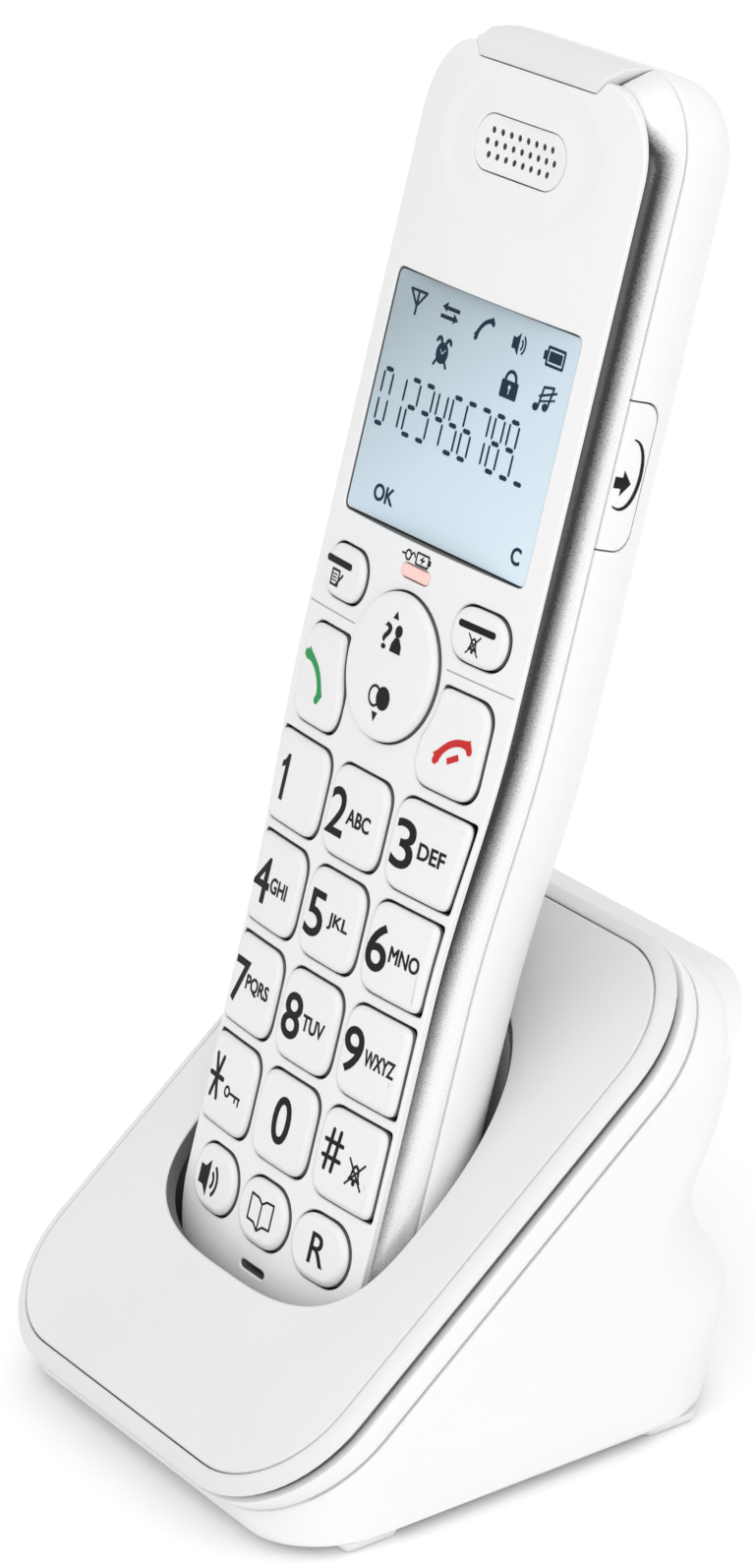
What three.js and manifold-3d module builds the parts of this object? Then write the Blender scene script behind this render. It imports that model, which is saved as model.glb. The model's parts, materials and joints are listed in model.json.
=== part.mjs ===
// Cordless telephone handset standing in its charging cradle.
// Millimetres, +Z up, the keypad faces -Y. The origin is the middle of the bounding box's bottom.
import * as THREE from 'three';
import { mergeVertices } from 'three/addons/utils/BufferGeometryUtils.js';
import Module from 'manifold-3d';

const wasm = await Module();
wasm.setup();

// ---------- driving dimensions ----------
const GAP = 0.3; // clearance between touching pieces

// Handset, in its own frame: X across, Y from front to back, Z from its foot to its top.
const HANDSET_HEIGHT = 163; // front plate, foot to top
const DISPLAY_HALF = 24.9; // half width of the front plate beside the display
const KEYPAD_HALF = 22; // half width of the front plate beside the keypad
const WAIST = [50, 85]; // heights between which the width changes
const TOP_CORNER = 10.5;
const FOOT_CORNER = 12;
const CROWN_RISE = 1.3; // the front plate's middle stands this far in front of the display
const CROWN_FALL = 1.9; // drop of the crown from the middle to the display section's edge
const PLATE_BACK = 1.1;
const BAND = { front: 1.4, back: 5.4, grow: 1.4, rise: 2.6, wall: 3.4 };
const SHELL = { front: 5.7, bend: 7, back: 19.5, sideRound: 20, endRound: 8, wall: 1.8 };
const RECLINE = THREE.MathUtils.degToRad(21.7);
const HANDSET_FOOT = [0, -43.85, 13.7]; // handset frame's origin in the cradle's frame

const DISPLAY = { half: 21, low: 102.1, high: 133, front: -0.1, back: 1 };
const EAR = { half: 10.15, height: 7, z: 151.6, pitch: 1.9, hole: 0.45 };
const EAR_ROWS = [[8, 1.55], [9, 0], [8, -1.55]]; // holes in a row, and its height over the middle
const LED = { half: 3.3, height: 1.7, z: 98.3 };
const MIC_SLOT = { half: 3.1, height: 1.1, z: 7.4 };
const NAV = { z: 86.4, rx: 9.9, rz: 9.35 };
const KEY_BACK = { rim: 0.5, middle: 2.2 }; // keys end here over the trim band and inside it
const KEY_STAND = 0.7; // keys stand this far in front of the plate
const DIAL = { rows: [66.9, 53.6, 40.2, 26.9], height: 11.5, middle: 6.6, inner: 8.3, corner: 2.4 };
const FUNCTION_ROW = { z: 14.8, half: [5.9, 4.15], pitch: 13.1, corner: 4 };
const SOFT = { x: [10.4, 21.4], z: [91, 97.8], corner: 3.2 };
const CALL = { x: [9.3, 21.7], z: [74.6, 87.2], corner: 2.6 };
const NAV_RIM = 1.5; // width of plate left between the oval key and its neighbours
const SIDE_KEY = { inner: 14, low: 108.9, high: 127.3, back: 10.6 };
const LENS_EDGE = [[13.2, 161.3], [14.6, 163], [16.4, 169]]; // half width at each height, from below
const COVER = { half: 15, low: 55, high: 113, corner: 3 };
const GRILLE = { half: 7, low: 128, slot: 1.4, pitch: 3, count: 4 }; // loudspeaker slots in the back
const SCREW = { head: 2.2, hole: 2.6, shank: 1.1 };
const HANDSET_SCREW = { x: 14, y: 16.4, z: 150 };
const CONTACT = { half: 1.8, y: [8.5, 12.3], z: [0.1, 2.1] }; // charging contacts in the foot
const SPEAKER = { radius: 10.5, y: 9.6, z: 133.5, length: 4.4 };
const INNER_HALF = 18.4; // half width of the circuit board and the keypad membrane
const CELL = { radius: 5.1, length: 44.5, x: 5.6, y: 12, low: 62 };

// Cradle, in its own frame: Z = 0 is the floor, Y = 0 lies a little in front of its rear edge.
const SLOPE = THREE.MathUtils.degToRad(36); // sloping top panel
const PANEL_RISE = 55.8; // height of the panel's plane at Y = 0
const PANEL = { half: 35.9, front: -77.9, rear: 5.5, corner: 15 }; // measured along the slope
const EDGE_DROP = 0.6; // the panel's edge lies this far below its crown
const RIM = { depth: 2.2, grow: 2.3 };
const CHROME_LINE = { top: 2.5, bottom: 3.1, grow: 2 };
const TOP_BAND = { top: 3.4, bottom: 6.4, grow: 2.5, toe: 1.6, wall: 3 };
const SEAM_DEPTH = 6.7;
const BODY = { half: 38.3, front: -60, rear: 4.2, corner: 12, wall: 2.2 };
const BASE_FLOOR = 1.5;
// The S-shaped back of the base, from the floor up: [Y, Z].
const REAR = [[4.2, 1.5], [6.4, 8], [9.6, 16.2], [7.9, 20.2], [6.5, 24], [6.1, 28], [6.8, 31.8],
  [9, 36.2], [11.8, 41], [13.9, 46], [14.4, 50], [13.2, 53.6]];
const CUP = { half: 25.4, middle: -4, front: 9.3, rear: 17, floor: -0.5, wall: 1.6, floorWall: 1.8 };
const PIN = { x: 7, y: 10.4, radius: 1.2 };
const FOOT = { x: [31, 37], length: 7.2, height: 1.2 };
const FEET = [['front_left', -1, -49], ['front_right', 1, -49],
  ['rear_left', -1, -5.2], ['rear_right', 1, -5.2]];
const BOTTOM_TOP = 2.7; // upper face of the plate that closes the base
const BASE_SCREW = { x: 27, y: -26 };
const INLET = { half: 4.9, y: [-5, 2.6], z: [5.2, 12.8], axis: 9, bore: 3.2, hole: 4 };

// ---------- materials ----------
function paint(color, roughness, metalness = 0) {
  return new THREE.MeshStandardMaterial({ color, roughness, metalness });
}

const WHITE = paint(0xf4f4f3, 0.3);
const PEARL = paint(0xe9e9ea, 0.42);
const SILVER = paint(0xc9cacd, 0.28, 0.9);
const CHROME = paint(0xdedfe2, 0.12, 1);
const SATIN = paint(0xdcdcdd, 0.5);
const LENS = paint(0xd8d9da, 0.3);
const GLASS = paint(0xbcd6e2, 0.15);
const PINK = paint(0xf2b9b4, 0.35);
const RUBBER = paint(0x3a3a3c, 0.85);
const PAD = paint(0xe4e4e3, 0.8);
const BOARD = paint(0x1f6b45, 0.6);
const STEEL = paint(0xb9bbbe, 0.3, 1);
const BRASS = paint(0xcaa34e, 0.35, 1);
const DARK = paint(0x2b2c2f, 0.6);
const CELL_WRAP = paint(0x3d8f57, 0.4);

// ---------- solids ----------
function solid(geometry) {
  let bare = geometry.clone();
  bare.deleteAttribute('normal');
  bare.deleteAttribute('uv');
  bare = mergeVertices(bare, 1e-4);
  return new wasm.Manifold(new wasm.Mesh({
    numProp: 3,
    vertProperties: new Float32Array(bare.attributes.position.array),
    triVerts: new Uint32Array(bare.index.array),
  }));
}

function geometryOf(body) {
  const mesh = body.getMesh();
  const geometry = new THREE.BufferGeometry();
  geometry.setAttribute('position', new THREE.BufferAttribute(mesh.vertProperties, 3));
  geometry.setIndex(new THREE.BufferAttribute(mesh.triVerts, 1));
  geometry.computeVertexNormals();
  return geometry;
}

const shapeOf = (points) => new THREE.Shape(points.map(([a, b]) => new THREE.Vector2(a, b)));

function extrude(points, depth) {
  return new THREE.ExtrudeGeometry(shapeOf(points), { depth, bevelEnabled: false, curveSegments: 4 });
}

// An outline in X and Z, from one Y to another.
function facePrism(points, front, back) {
  const geometry = extrude(points, back - front);
  geometry.rotateX(Math.PI / 2);
  geometry.translate(0, back, 0);
  return solid(geometry);
}

// An outline in X and Y, from one Z to another.
function planPrism(points, low, high) {
  return solid(extrude(points, high - low).translate(0, 0, low));
}

// An outline in Y and Z, right across X from -half to half.
function sidePrism(points, half) {
  const geometry = extrude(points, 2 * half).translate(0, 0, -half);
  geometry.applyMatrix4(new THREE.Matrix4().makeBasis(
    new THREE.Vector3(0, 1, 0), new THREE.Vector3(0, 0, 1), new THREE.Vector3(1, 0, 0)));
  return solid(geometry);
}

function block([x0, x1], [y0, y1], [z0, z1]) {
  const geometry = new THREE.BoxGeometry(x1 - x0, y1 - y0, z1 - z0);
  return solid(geometry.translate((x0 + x1) / 2, (y0 + y1) / 2, (z0 + z1) / 2));
}

// A cylinder along Y or Z.
function rod(axis, radius, [x, y, z], length, sides = 16) {
  const geometry = new THREE.CylinderGeometry(radius, radius, length, sides);
  if (axis === 'z') geometry.rotateX(Math.PI / 2);
  return solid(geometry.translate(x, y, z));
}

function roundedRect([x0, x1], [z0, z1], radius, steps = 4) {
  const points = [];
  const centres = [[x1 - radius, z0 + radius, -90], [x1 - radius, z1 - radius, 0],
    [x0 + radius, z1 - radius, 90], [x0 + radius, z0 + radius, 180]];
  for (const [cx, cz, start] of centres) {
    for (let i = 0; i <= steps; i++) {
      const angle = THREE.MathUtils.degToRad(start + 90 * i / steps);
      points.push([cx + radius * Math.cos(angle), cz + radius * Math.sin(angle)]);
    }
  }
  return points;
}

function ellipse(cx, cz, rx, rz, sides = 32) {
  return Array.from({ length: sides }, (_, i) => {
    const angle = 2 * Math.PI * i / sides;
    return [cx + rx * Math.cos(angle), cz + rz * Math.sin(angle)];
  });
}

// Skins rings of equally many [x, y, z] points, counter-clockwise seen from above the last ring.
function skin(rings) {
  const count = rings[0].length;
  const faces = [];
  for (let r = 0; r + 1 < rings.length; r++) {
    for (let i = 0; i < count; i++) {
      const a = r * count + i;
      const b = r * count + (i + 1) % count;
      faces.push(a, b, a + count, b, b + count, a + count);
    }
  }
  const last = (rings.length - 1) * count;
  const cap = (ring) => THREE.ShapeUtils.triangulateShape(ring.map(([x, y]) => new THREE.Vector2(x, y)), []);
  for (const [a, b, c] of cap(rings[0])) faces.push(a, c, b);
  for (const [a, b, c] of cap(rings.at(-1))) faces.push(last + a, last + b, last + c);
  const geometry = new THREE.BufferGeometry();
  geometry.setAttribute('position', new THREE.Float32BufferAttribute(rings.flat(2), 3));
  geometry.setIndex(faces);
  return solid(geometry);
}

// Skins flat outlines, each at its own height, from the lowest to the highest.
const stack = (rings) => skin(rings.map(({ points, z }) => points.map(([x, y]) => [x, y, z])));

// Skins outlines in X and Z, each at its own Y, from the front to the back.
function loft(rings) {
  return stack(rings.map(({ points, y }) => ({ points, z: -y })).reverse()).rotate([90, 0, 0]);
}

function add(group, name, body, material) {
  const mesh = new THREE.Mesh(body.isBufferGeometry ? body : geometryOf(body), material);
  mesh.name = name;
  group.add(mesh);
  return mesh;
}

// ---------- handset outline ----------
function halfWidth(z) {
  const share = THREE.MathUtils.smoothstep(z, WAIST[0], WAIST[1]);
  return KEYPAD_HALF + (DISPLAY_HALF - KEYPAD_HALF) * share;
}

// The handset's outline seen from the front, grown outwards at its sides, its foot and its top.
function outline(side, end = side, rise = end, steps = 5) {
  const eased = side * (side > 0 ? 1 : 0.3);
  const corner = (radius, half) => Math.min(Math.max(5, radius + eased), half + side - 1);
  const foot = corner(FOOT_CORNER, KEYPAD_HALF);
  const top = corner(TOP_CORNER, DISPLAY_HALF);
  const low = BAND.grow - end;
  const high = HANDSET_HEIGHT + rise;
  const right = [];
  const arc = (radius, centre, from, to) => {
    for (let i = 0; i <= steps; i++) {
      const angle = THREE.MathUtils.degToRad(from + (to - from) * i / steps);
      const z = centre + radius * Math.sin(angle);
      right.push([halfWidth(z) + side - radius + radius * Math.cos(angle), z]);
    }
  };
  arc(foot, low + foot, -90, 0);
  for (let i = 0; i <= 6; i++) right.push([0, WAIST[0] + (WAIST[1] - WAIST[0]) * i / 6]);
  for (const point of right.slice(-7)) point[0] = halfWidth(point[1]) + side;
  arc(top, high - top, 0, 90);
  return [...right, ...right.map(([x, z]) => [-x, z]).reverse()];
}

// Everything behind the crowned front surface, raised by lift.
function behindCrown(lift) {
  const wide = 32;
  const points = [];
  for (let i = -8; i <= 8; i++) {
    const x = wide * i / 8;
    points.push([x, lift + CROWN_RISE - CROWN_FALL * (x / DISPLAY_HALF) ** 2]);
  }
  points.push([wide, -30], [-wide, -30]);
  const geometry = extrude(points.map(([x, w]) => [x, -w]).reverse(), HANDSET_HEIGHT + 20);
  return solid(geometry.translate(0, 0, -10));
}

const navEllipse = (grow) => ellipse(0, NAV.z, NAV.rx + grow, NAV.rz + grow);
const aroundNav = (grow) => facePrism(navEllipse(grow), -6, 8);
const mirrored = ([a, b], sign) => (sign > 0 ? [a, b] : [-b, -a]);
const grown = ([a, b], by) => [a - by, b + by];

// Outlines of the keys, cut out by the same functions in the plate, where grow is the gap.
function keyCutters(grow) {
  const cutters = {};
  const box = (x, z, corner) => facePrism(roundedRect(grown(x, grow), grown(z, grow), corner + grow), -6, 8);
  const names = [['key_1', 'key_2', 'key_3'], ['key_4', 'key_5', 'key_6'],
    ['key_7', 'key_8', 'key_9'], ['key_star', 'key_0', 'key_hash']];
  names.forEach((row, r) => {
    const z = [DIAL.rows[r] - DIAL.height / 2, DIAL.rows[r] + DIAL.height / 2];
    cutters[row[0]] = box([-32, -DIAL.inner], z, DIAL.corner);
    cutters[row[1]] = box([-DIAL.middle, DIAL.middle], z, DIAL.corner);
    cutters[row[2]] = box([DIAL.inner, 32], z, DIAL.corner);
  });
  ['key_speaker', 'key_phonebook', 'key_recall'].forEach((name, i) => {
    const x = (i - 1) * FUNCTION_ROW.pitch;
    const [hx, hz] = FUNCTION_ROW.half;
    cutters[name] = box([x - hx, x + hx], [FUNCTION_ROW.z - hz, FUNCTION_ROW.z + hz], FUNCTION_ROW.corner);
  });
  const rim = aroundNav(NAV_RIM - grow);
  cutters.softkey_left = box(mirrored(SOFT.x, -1), SOFT.z, SOFT.corner).subtract(rim);
  cutters.softkey_right = box(SOFT.x, SOFT.z, SOFT.corner).subtract(rim);
  cutters.talk_key = box(mirrored(CALL.x, -1), CALL.z, CALL.corner).subtract(rim);
  cutters.end_key = box(CALL.x, CALL.z, CALL.corner).subtract(rim);
  cutters.nav_key = aroundNav(grow);
  return cutters;
}

// ---------- handset ----------
// The lens over the top of the handset, seen from the front.
function lensOutline(grow) {
  const right = LENS_EDGE.map(([half, z], i) => [half + grow, i < LENS_EDGE.length - 1 ? z - grow : z]);
  return [...right, ...right.map(([x, z]) => [-x, z]).reverse()];
}

function addFrontPlate(handset) {
  let plate = facePrism(outline(0), -5, PLATE_BACK).intersect(behindCrown(0));
  for (const cutter of Object.values(keyCutters(GAP))) plate = plate.subtract(cutter);
  plate = plate.subtract(facePrism(roundedRect(grown([-DISPLAY.half, DISPLAY.half], GAP),
    grown([DISPLAY.low, DISPLAY.high], GAP), 1), -6, 8));
  plate = plate.subtract(facePrism(pill(EAR.half, EAR.height, EAR.z, GAP), -6, 8));
  plate = plate.subtract(facePrism(pill(LED.half, LED.height, LED.z, GAP), -6, 8));
  plate = plate.subtract(facePrism(pill(MIC_SLOT.half, MIC_SLOT.height, MIC_SLOT.z, 0), -6, 8));
  plate = plate.subtract(facePrism(lensOutline(GAP), -6, 8));
  add(handset, 'front_plate', plate, PEARL);
}

function pill(half, height, z, grow) {
  const radius = height / 2 + grow;
  return roundedRect([-half - grow, half + grow], [z - radius, z + radius], radius - 0.01, 6);
}

function addTrimBand(handset) {
  const outer = loft([
    { points: outline(0.1, 0.1, 1), y: BAND.front },
    { points: outline(BAND.grow, BAND.grow, BAND.rise), y: BAND.back },
  ]);
  const inner = facePrism(outline(BAND.grow - BAND.wall), -2, 8);
  const band = outer.subtract(inner).subtract(facePrism(lensOutline(GAP), -6, 8));
  add(handset, 'side_trim_band', band, SILVER);
}

function addLens(handset) {
  const body = loft([
    { points: outline(0.1, 0.1, 0.3), y: -1.2 },
    { points: outline(0.6, 0.6, 1.9), y: BAND.front },
    { points: outline(BAND.grow, BAND.grow, BAND.rise), y: BAND.back },
  ]).intersect(behindCrown(0));
  add(handset, 'ringer_light_lens', body.intersect(facePrism(lensOutline(0), -6, 8)), LENS);
}

function shellBody(inset) {
  const depth = SHELL.back - SHELL.bend;
  const [side, rise] = [BAND.grow - inset, BAND.rise - inset];
  const rings = [{ points: outline(side, side, rise), y: SHELL.front - (inset ? 1 : 0) }];
  for (const degrees of [0, 15, 30, 45, 60, 90]) {
    const angle = THREE.MathUtils.degToRad(degrees);
    const round = 1 - Math.cos(angle);
    const end = SHELL.endRound * round;
    rings.push({
      points: outline(side - (SHELL.sideRound - inset) * round, side - end, rise - end),
      y: SHELL.bend + (depth - inset) * Math.sin(angle),
    });
  }
  return loft(rings);
}

function addRearShell(handset) {
  let shell = shellBody(0).subtract(shellBody(SHELL.wall));
  const doorway = (grow) => facePrism(roundedRect([-COVER.half - grow, COVER.half + grow],
    [COVER.low - grow, COVER.high + grow], COVER.corner + grow), 8, 24);
  const sideway = (grow) => block([SIDE_KEY.inner, 32], [SHELL.front - 2, SIDE_KEY.back + grow],
    [SIDE_KEY.low - grow, SIDE_KEY.high + grow]);
  add(handset, 'battery_cover', shell.intersect(doorway(0)), WHITE);
  add(handset, 'boost_key', shell.intersect(sideway(0)), WHITE);
  shell = shell.subtract(doorway(GAP)).subtract(sideway(GAP));
  for (let i = 0; i < GRILLE.count; i++) {
    const low = GRILLE.low + GRILLE.pitch * i;
    shell = shell.subtract(block([-GRILLE.half, GRILLE.half], [10, 24], [low, low + GRILLE.slot]));
  }
  for (const side of [-1, 1]) {
    const { x, y, z } = HANDSET_SCREW;
    shell = shell.subtract(rod('y', SCREW.hole, [side * x, y + 1.6, z], 8));
    const head = rod('y', SCREW.head, [side * x, y, z], 1.4);
    const screw = head.add(rod('y', SCREW.shank, [side * x, y - 4, z], 7, 10));
    add(handset, side < 0 ? 'handset_screw_left' : 'handset_screw_right', screw, STEEL);
  }
  for (const [name, x] of [['charge_pad_left', -PIN.x], ['charge_pad_right', PIN.x]]) {
    const wide = CONTACT.half + GAP;
    const deep = [CONTACT.y[0] - GAP, CONTACT.y[1] + GAP];
    shell = shell.subtract(block([x - wide, x + wide], deep, [-4, CONTACT.z[1] + GAP]));
    add(handset, name, block([x - CONTACT.half, x + CONTACT.half], CONTACT.y, CONTACT.z), BRASS);
  }
  add(handset, 'rear_shell', shell, WHITE);
}

function addKeys(handset) {
  const body = facePrism(outline(-GAP), -5, KEY_BACK.rim)
    .add(facePrism(outline(BAND.grow - BAND.wall - 2 * GAP), -5, KEY_BACK.middle))
    .intersect(behindCrown(KEY_STAND));
  for (const [name, cutter] of Object.entries(keyCutters(0))) {
    add(handset, name, body.intersect(cutter), WHITE);
  }
}

function addDisplay(handset) {
  const glass = facePrism(roundedRect([-DISPLAY.half, DISPLAY.half], [DISPLAY.low, DISPLAY.high], 0.8),
    DISPLAY.front, DISPLAY.back);
  add(handset, 'lcd_window', glass, GLASS);
  add(handset, 'lcd_module', block([-21.6, 21.6], [1.5, 4.5], [101, 134]), DARK);
  add(handset, 'charge_led_lens', facePrism(pill(LED.half, LED.height, LED.z, 0), -1.2, 0.9), PINK);
}

function addEarpiece(handset) {
  let insert = facePrism(pill(EAR.half, EAR.height, EAR.z, 0), -0.1, 0.9);
  EAR_ROWS.forEach(([count, dz]) => {
    for (let i = 0; i < count; i++) {
      const x = (i - (count - 1) / 2) * EAR.pitch;
      insert = insert.subtract(rod('y', EAR.hole, [x, 0.4, EAR.z + dz], 4, 6));
    }
  });
  add(handset, 'earpiece_insert', insert, PEARL);
  add(handset, 'earpiece_receiver', rod('y', 7.5, [0, 3, EAR.z], 3, 20), STEEL);
}

function addElectronics(handset) {
  add(handset, 'keypad_membrane', block([-INNER_HALF, INNER_HALF], [3.3, 4.3], [9.5, 99.5]), RUBBER);
  add(handset, 'handset_pcb', block([-INNER_HALF, INNER_HALF], [5, 6.2], [9.5, 158]), BOARD);
  add(handset, 'loudspeaker', rod('y', SPEAKER.radius, [0, SPEAKER.y, SPEAKER.z], SPEAKER.length, 24), DARK);
  add(handset, 'microphone', rod('y', 2, [0, 2.6, MIC_SLOT.z], 2, 12), STEEL);
  for (const [name, x] of [['battery_cell_left', -CELL.x], ['battery_cell_right', CELL.x]]) {
    const middle = [x, CELL.y, CELL.low + CELL.length / 2];
    add(handset, name, rod('z', CELL.radius, middle, CELL.length, 18), CELL_WRAP);
  }
  const springs = [['low', CELL.low - 1.1], ['high', CELL.low + CELL.length + GAP]];
  for (const [end, z] of springs) {
    add(handset, `battery_contact_${end}`, block([-10, 10], [7.4, 16.6], [z, z + 0.8]), STEEL);
  }
}

// ---------- cradle ----------
const panelHeight = (y, below = 0) => PANEL_RISE + y * Math.tan(SLOPE) - below / Math.cos(SLOPE);

// The panel's outline along the slope, grown sideways and to the rear, and at its front edge.
function slopeOutline(grow, toe = grow) {
  return roundedRect([-PANEL.half - grow, PANEL.half + grow], [PANEL.front - toe, PANEL.rear + grow],
    PANEL.corner + grow, 6);
}

// A stack under the sloping panel, given as [depth, grow, toe] from the deepest ring up.
function slopeStack(rings) {
  const levels = rings.map(([depth, grow, toe]) => ({ points: slopeOutline(grow, toe), z: -depth }));
  return stack(levels).rotate([THREE.MathUtils.radToDeg(SLOPE), 0, 0]).translate([0, 0, PANEL_RISE]);
}

// The cup's cross-section, square to the handset, grown by its wall.
function cupSection(grow) {
  const points = [];
  const power = (value, n) => Math.sign(value) * Math.abs(value) ** (2 / n);
  for (let i = 0; i < 40; i++) {
    const angle = 2 * Math.PI * i / 40;
    const [c, s] = [Math.cos(angle), Math.sin(angle)];
    const n = s > 0 ? 3 : 2.3;
    const depth = (s > 0 ? CUP.front : CUP.rear) + grow;
    points.push([(CUP.half + grow) * power(c, n), -(CUP.middle + depth * power(s, n))]);
  }
  return points.reverse();
}

// A prism along the handset's length, moved from the handset's frame to the cradle's.
function leaning(points, low, high) {
  const geometry = extrude(points, high - low).translate(0, 0, low);
  geometry.rotateX(-RECLINE).translate(...HANDSET_FOOT);
  return solid(geometry);
}

function leaningRod(x, y, low, high, radius) {
  return leaning(ellipse(x, y, radius, radius, 12), low, high);
}

function addTopTrim(cradle) {
  const panel = slopeStack([[RIM.depth, -GAP], [EDGE_DROP, -GAP], [EDGE_DROP / 4, -1.6], [0, -4]]);
  add(cradle, 'top_panel', panel.subtract(leaning(cupSection(0), -20, 120)), SATIN);
  const ring = (rings, hole) => slopeStack(rings).subtract(slopeStack([[20, hole], [-20, hole]]));
  add(cradle, 'top_rim', ring([[RIM.depth, RIM.grow], [RIM.depth / 2, 1.7], [EDGE_DROP, 0.4]], 0), WHITE);
  const line = [[CHROME_LINE.bottom, CHROME_LINE.grow], [CHROME_LINE.top, CHROME_LINE.grow]];
  add(cradle, 'chrome_trim', ring(line, 0), CHROME);
  const band = [[TOP_BAND.bottom, TOP_BAND.grow, TOP_BAND.toe], [TOP_BAND.top, TOP_BAND.grow]];
  add(cradle, 'top_band', ring(band, TOP_BAND.grow - TOP_BAND.wall), WHITE);
}

// The white body under the band: from a sloping ring at the seam to a flat one at the floor.
function bodyShape(inset, floor, depth) {
  const outer = BODY.half - inset;
  const low = roundedRect([-outer, outer], [BODY.front + inset, BODY.rear - inset], BODY.corner - inset, 6);
  const grow = TOP_BAND.grow - inset;
  const high = slopeOutline(grow, TOP_BAND.toe - inset);
  const arc = low.length / 4;
  const [rise, run] = [Math.sin(SLOPE), Math.cos(SLOPE)];
  const top = high.map(([x, t]) => [x, t * run + depth * rise, PANEL_RISE + t * rise - depth * run]);
  const crest = top[2 * arc];
  const shares = REAR.map(([, z]) => (z - BASE_FLOOR) / (crest[2] - BASE_FLOOR));
  const rings = [...REAR.map(([y], i) => ({ share: shares[i], y: y - inset })), { share: 1, y: crest[1] }];
  return skin(rings.map(({ share, y }, r) => low.map(([x, lowY], i) => {
    const behind = i >= arc && i < 3 * arc;
    const straight = BODY.rear - inset + (crest[1] - BODY.rear + inset) * share;
    const z = r === 0 ? floor : BASE_FLOOR + (top[i][2] - BASE_FLOOR) * share;
    return [x + (top[i][0] - x) * share, lowY + (top[i][1] - lowY) * share + (behind ? y - straight : 0), z];
  })));
}

function addHousing(cradle) {
  const outer = bodyShape(0, BASE_FLOOR, SEAM_DEPTH);
  const inside = bodyShape(BODY.wall, BASE_FLOOR - 5, SEAM_DEPTH - 3);
  const inletHole = rod('y', INLET.hole, [0, 6, INLET.axis], 16, 20);
  add(cradle, 'base_housing', outer.subtract(inside).subtract(inletHole), WHITE);
}

function addCup(cradle) {
  const low = CUP.floor - CUP.floorWall;
  let cup = leaning(cupSection(CUP.wall), low, 120).subtract(leaning(cupSection(0), CUP.floor, 130));
  const underPanel = sidePrism([[-100, -20], [60, -20], [60, panelHeight(60, 2.3)],
    [-100, panelHeight(-100, 2.3)]], 60);
  cup = cup.intersect(underPanel);
  for (const x of [-PIN.x, PIN.x]) {
    cup = cup.subtract(leaningRod(x, PIN.y, low - 2, CUP.floor + 2, PIN.radius + GAP));
  }
  add(cradle, 'cradle_cup', cup, WHITE);
  for (const [name, x] of [['charge_pin_left', -PIN.x], ['charge_pin_right', PIN.x]]) {
    add(cradle, name, leaningRod(x, PIN.y, low - 1.4, -0.2, PIN.radius), BRASS);
  }
}

function addBottom(cradle) {
  const edge = BODY.half - BODY.wall - GAP;
  const ends = [BODY.front + BODY.wall + GAP, BODY.rear - BODY.wall - GAP];
  let plate = planPrism(roundedRect([-edge, edge], ends, BODY.corner - BODY.wall), BASE_FLOOR, BOTTOM_TOP);
  for (const side of [-1, 1]) {
    const [x, y] = [side * BASE_SCREW.x, BASE_SCREW.y];
    plate = plate.subtract(rod('z', SCREW.hole, [x, y, 2], 4));
    const screw = rod('z', SCREW.head, [x, y, 2.3], 1.2).add(rod('z', SCREW.shank, [x, y, 5.4], 5.4, 10));
    add(cradle, side < 0 ? 'base_screw_left' : 'base_screw_right', screw, STEEL);
  }
  add(cradle, 'bottom_plate', plate, WHITE);
  for (const [name, side, y] of FEET) {
    const ends = [y - FOOT.length / 2, y + FOOT.length / 2];
    add(cradle, `foot_${name}`, planPrism(roundedRect(mirrored(FOOT.x, side), ends, 1), 0, FOOT.height), PAD);
  }
  add(cradle, 'base_pcb', block([-20, 20], [-16, -5.5], [5, 6.4]), BOARD);
  const socket = rod('y', INLET.bore, [0, 1, INLET.axis], 8, 20);
  const inlet = block([-INLET.half, INLET.half], INLET.y, INLET.z).subtract(socket);
  add(cradle, 'power_inlet', inlet, DARK);
}

// ---------- assembly ----------
const handset = new THREE.Group();
handset.position.set(...HANDSET_FOOT);
handset.rotation.x = -RECLINE;
addFrontPlate(handset);
addTrimBand(handset);
addLens(handset);
addRearShell(handset);
addKeys(handset);
addDisplay(handset);
addEarpiece(handset);
addElectronics(handset);

const cradle = new THREE.Group();
addTopTrim(cradle);
addHousing(cradle);
addCup(cradle);
addBottom(cradle);

const phone = new THREE.Group();
phone.add(handset, cradle);
const box = new THREE.Box3().setFromObject(phone, true);
phone.position.set(0, -(box.min.y + box.max.y) / 2, -box.min.z);

const group = new THREE.Group();
group.add(phone);
export default group;
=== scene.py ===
"""Looks for the cordless phone in its charging cradle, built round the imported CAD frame.

Pieces are drawn in millimetres in three frames: HANDSET (x right, y back, z from foot to top),
CRADLE (x right, y back, z up) and PANEL (x right, y up the slope, z out of the sloping top).
"""
import json
import math

import bpy
import numpy as np
from mathutils import Matrix, Vector
from mathutils.bvhtree import BVHTree
from mathutils.geometry import delaunay_2d_cdt


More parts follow.
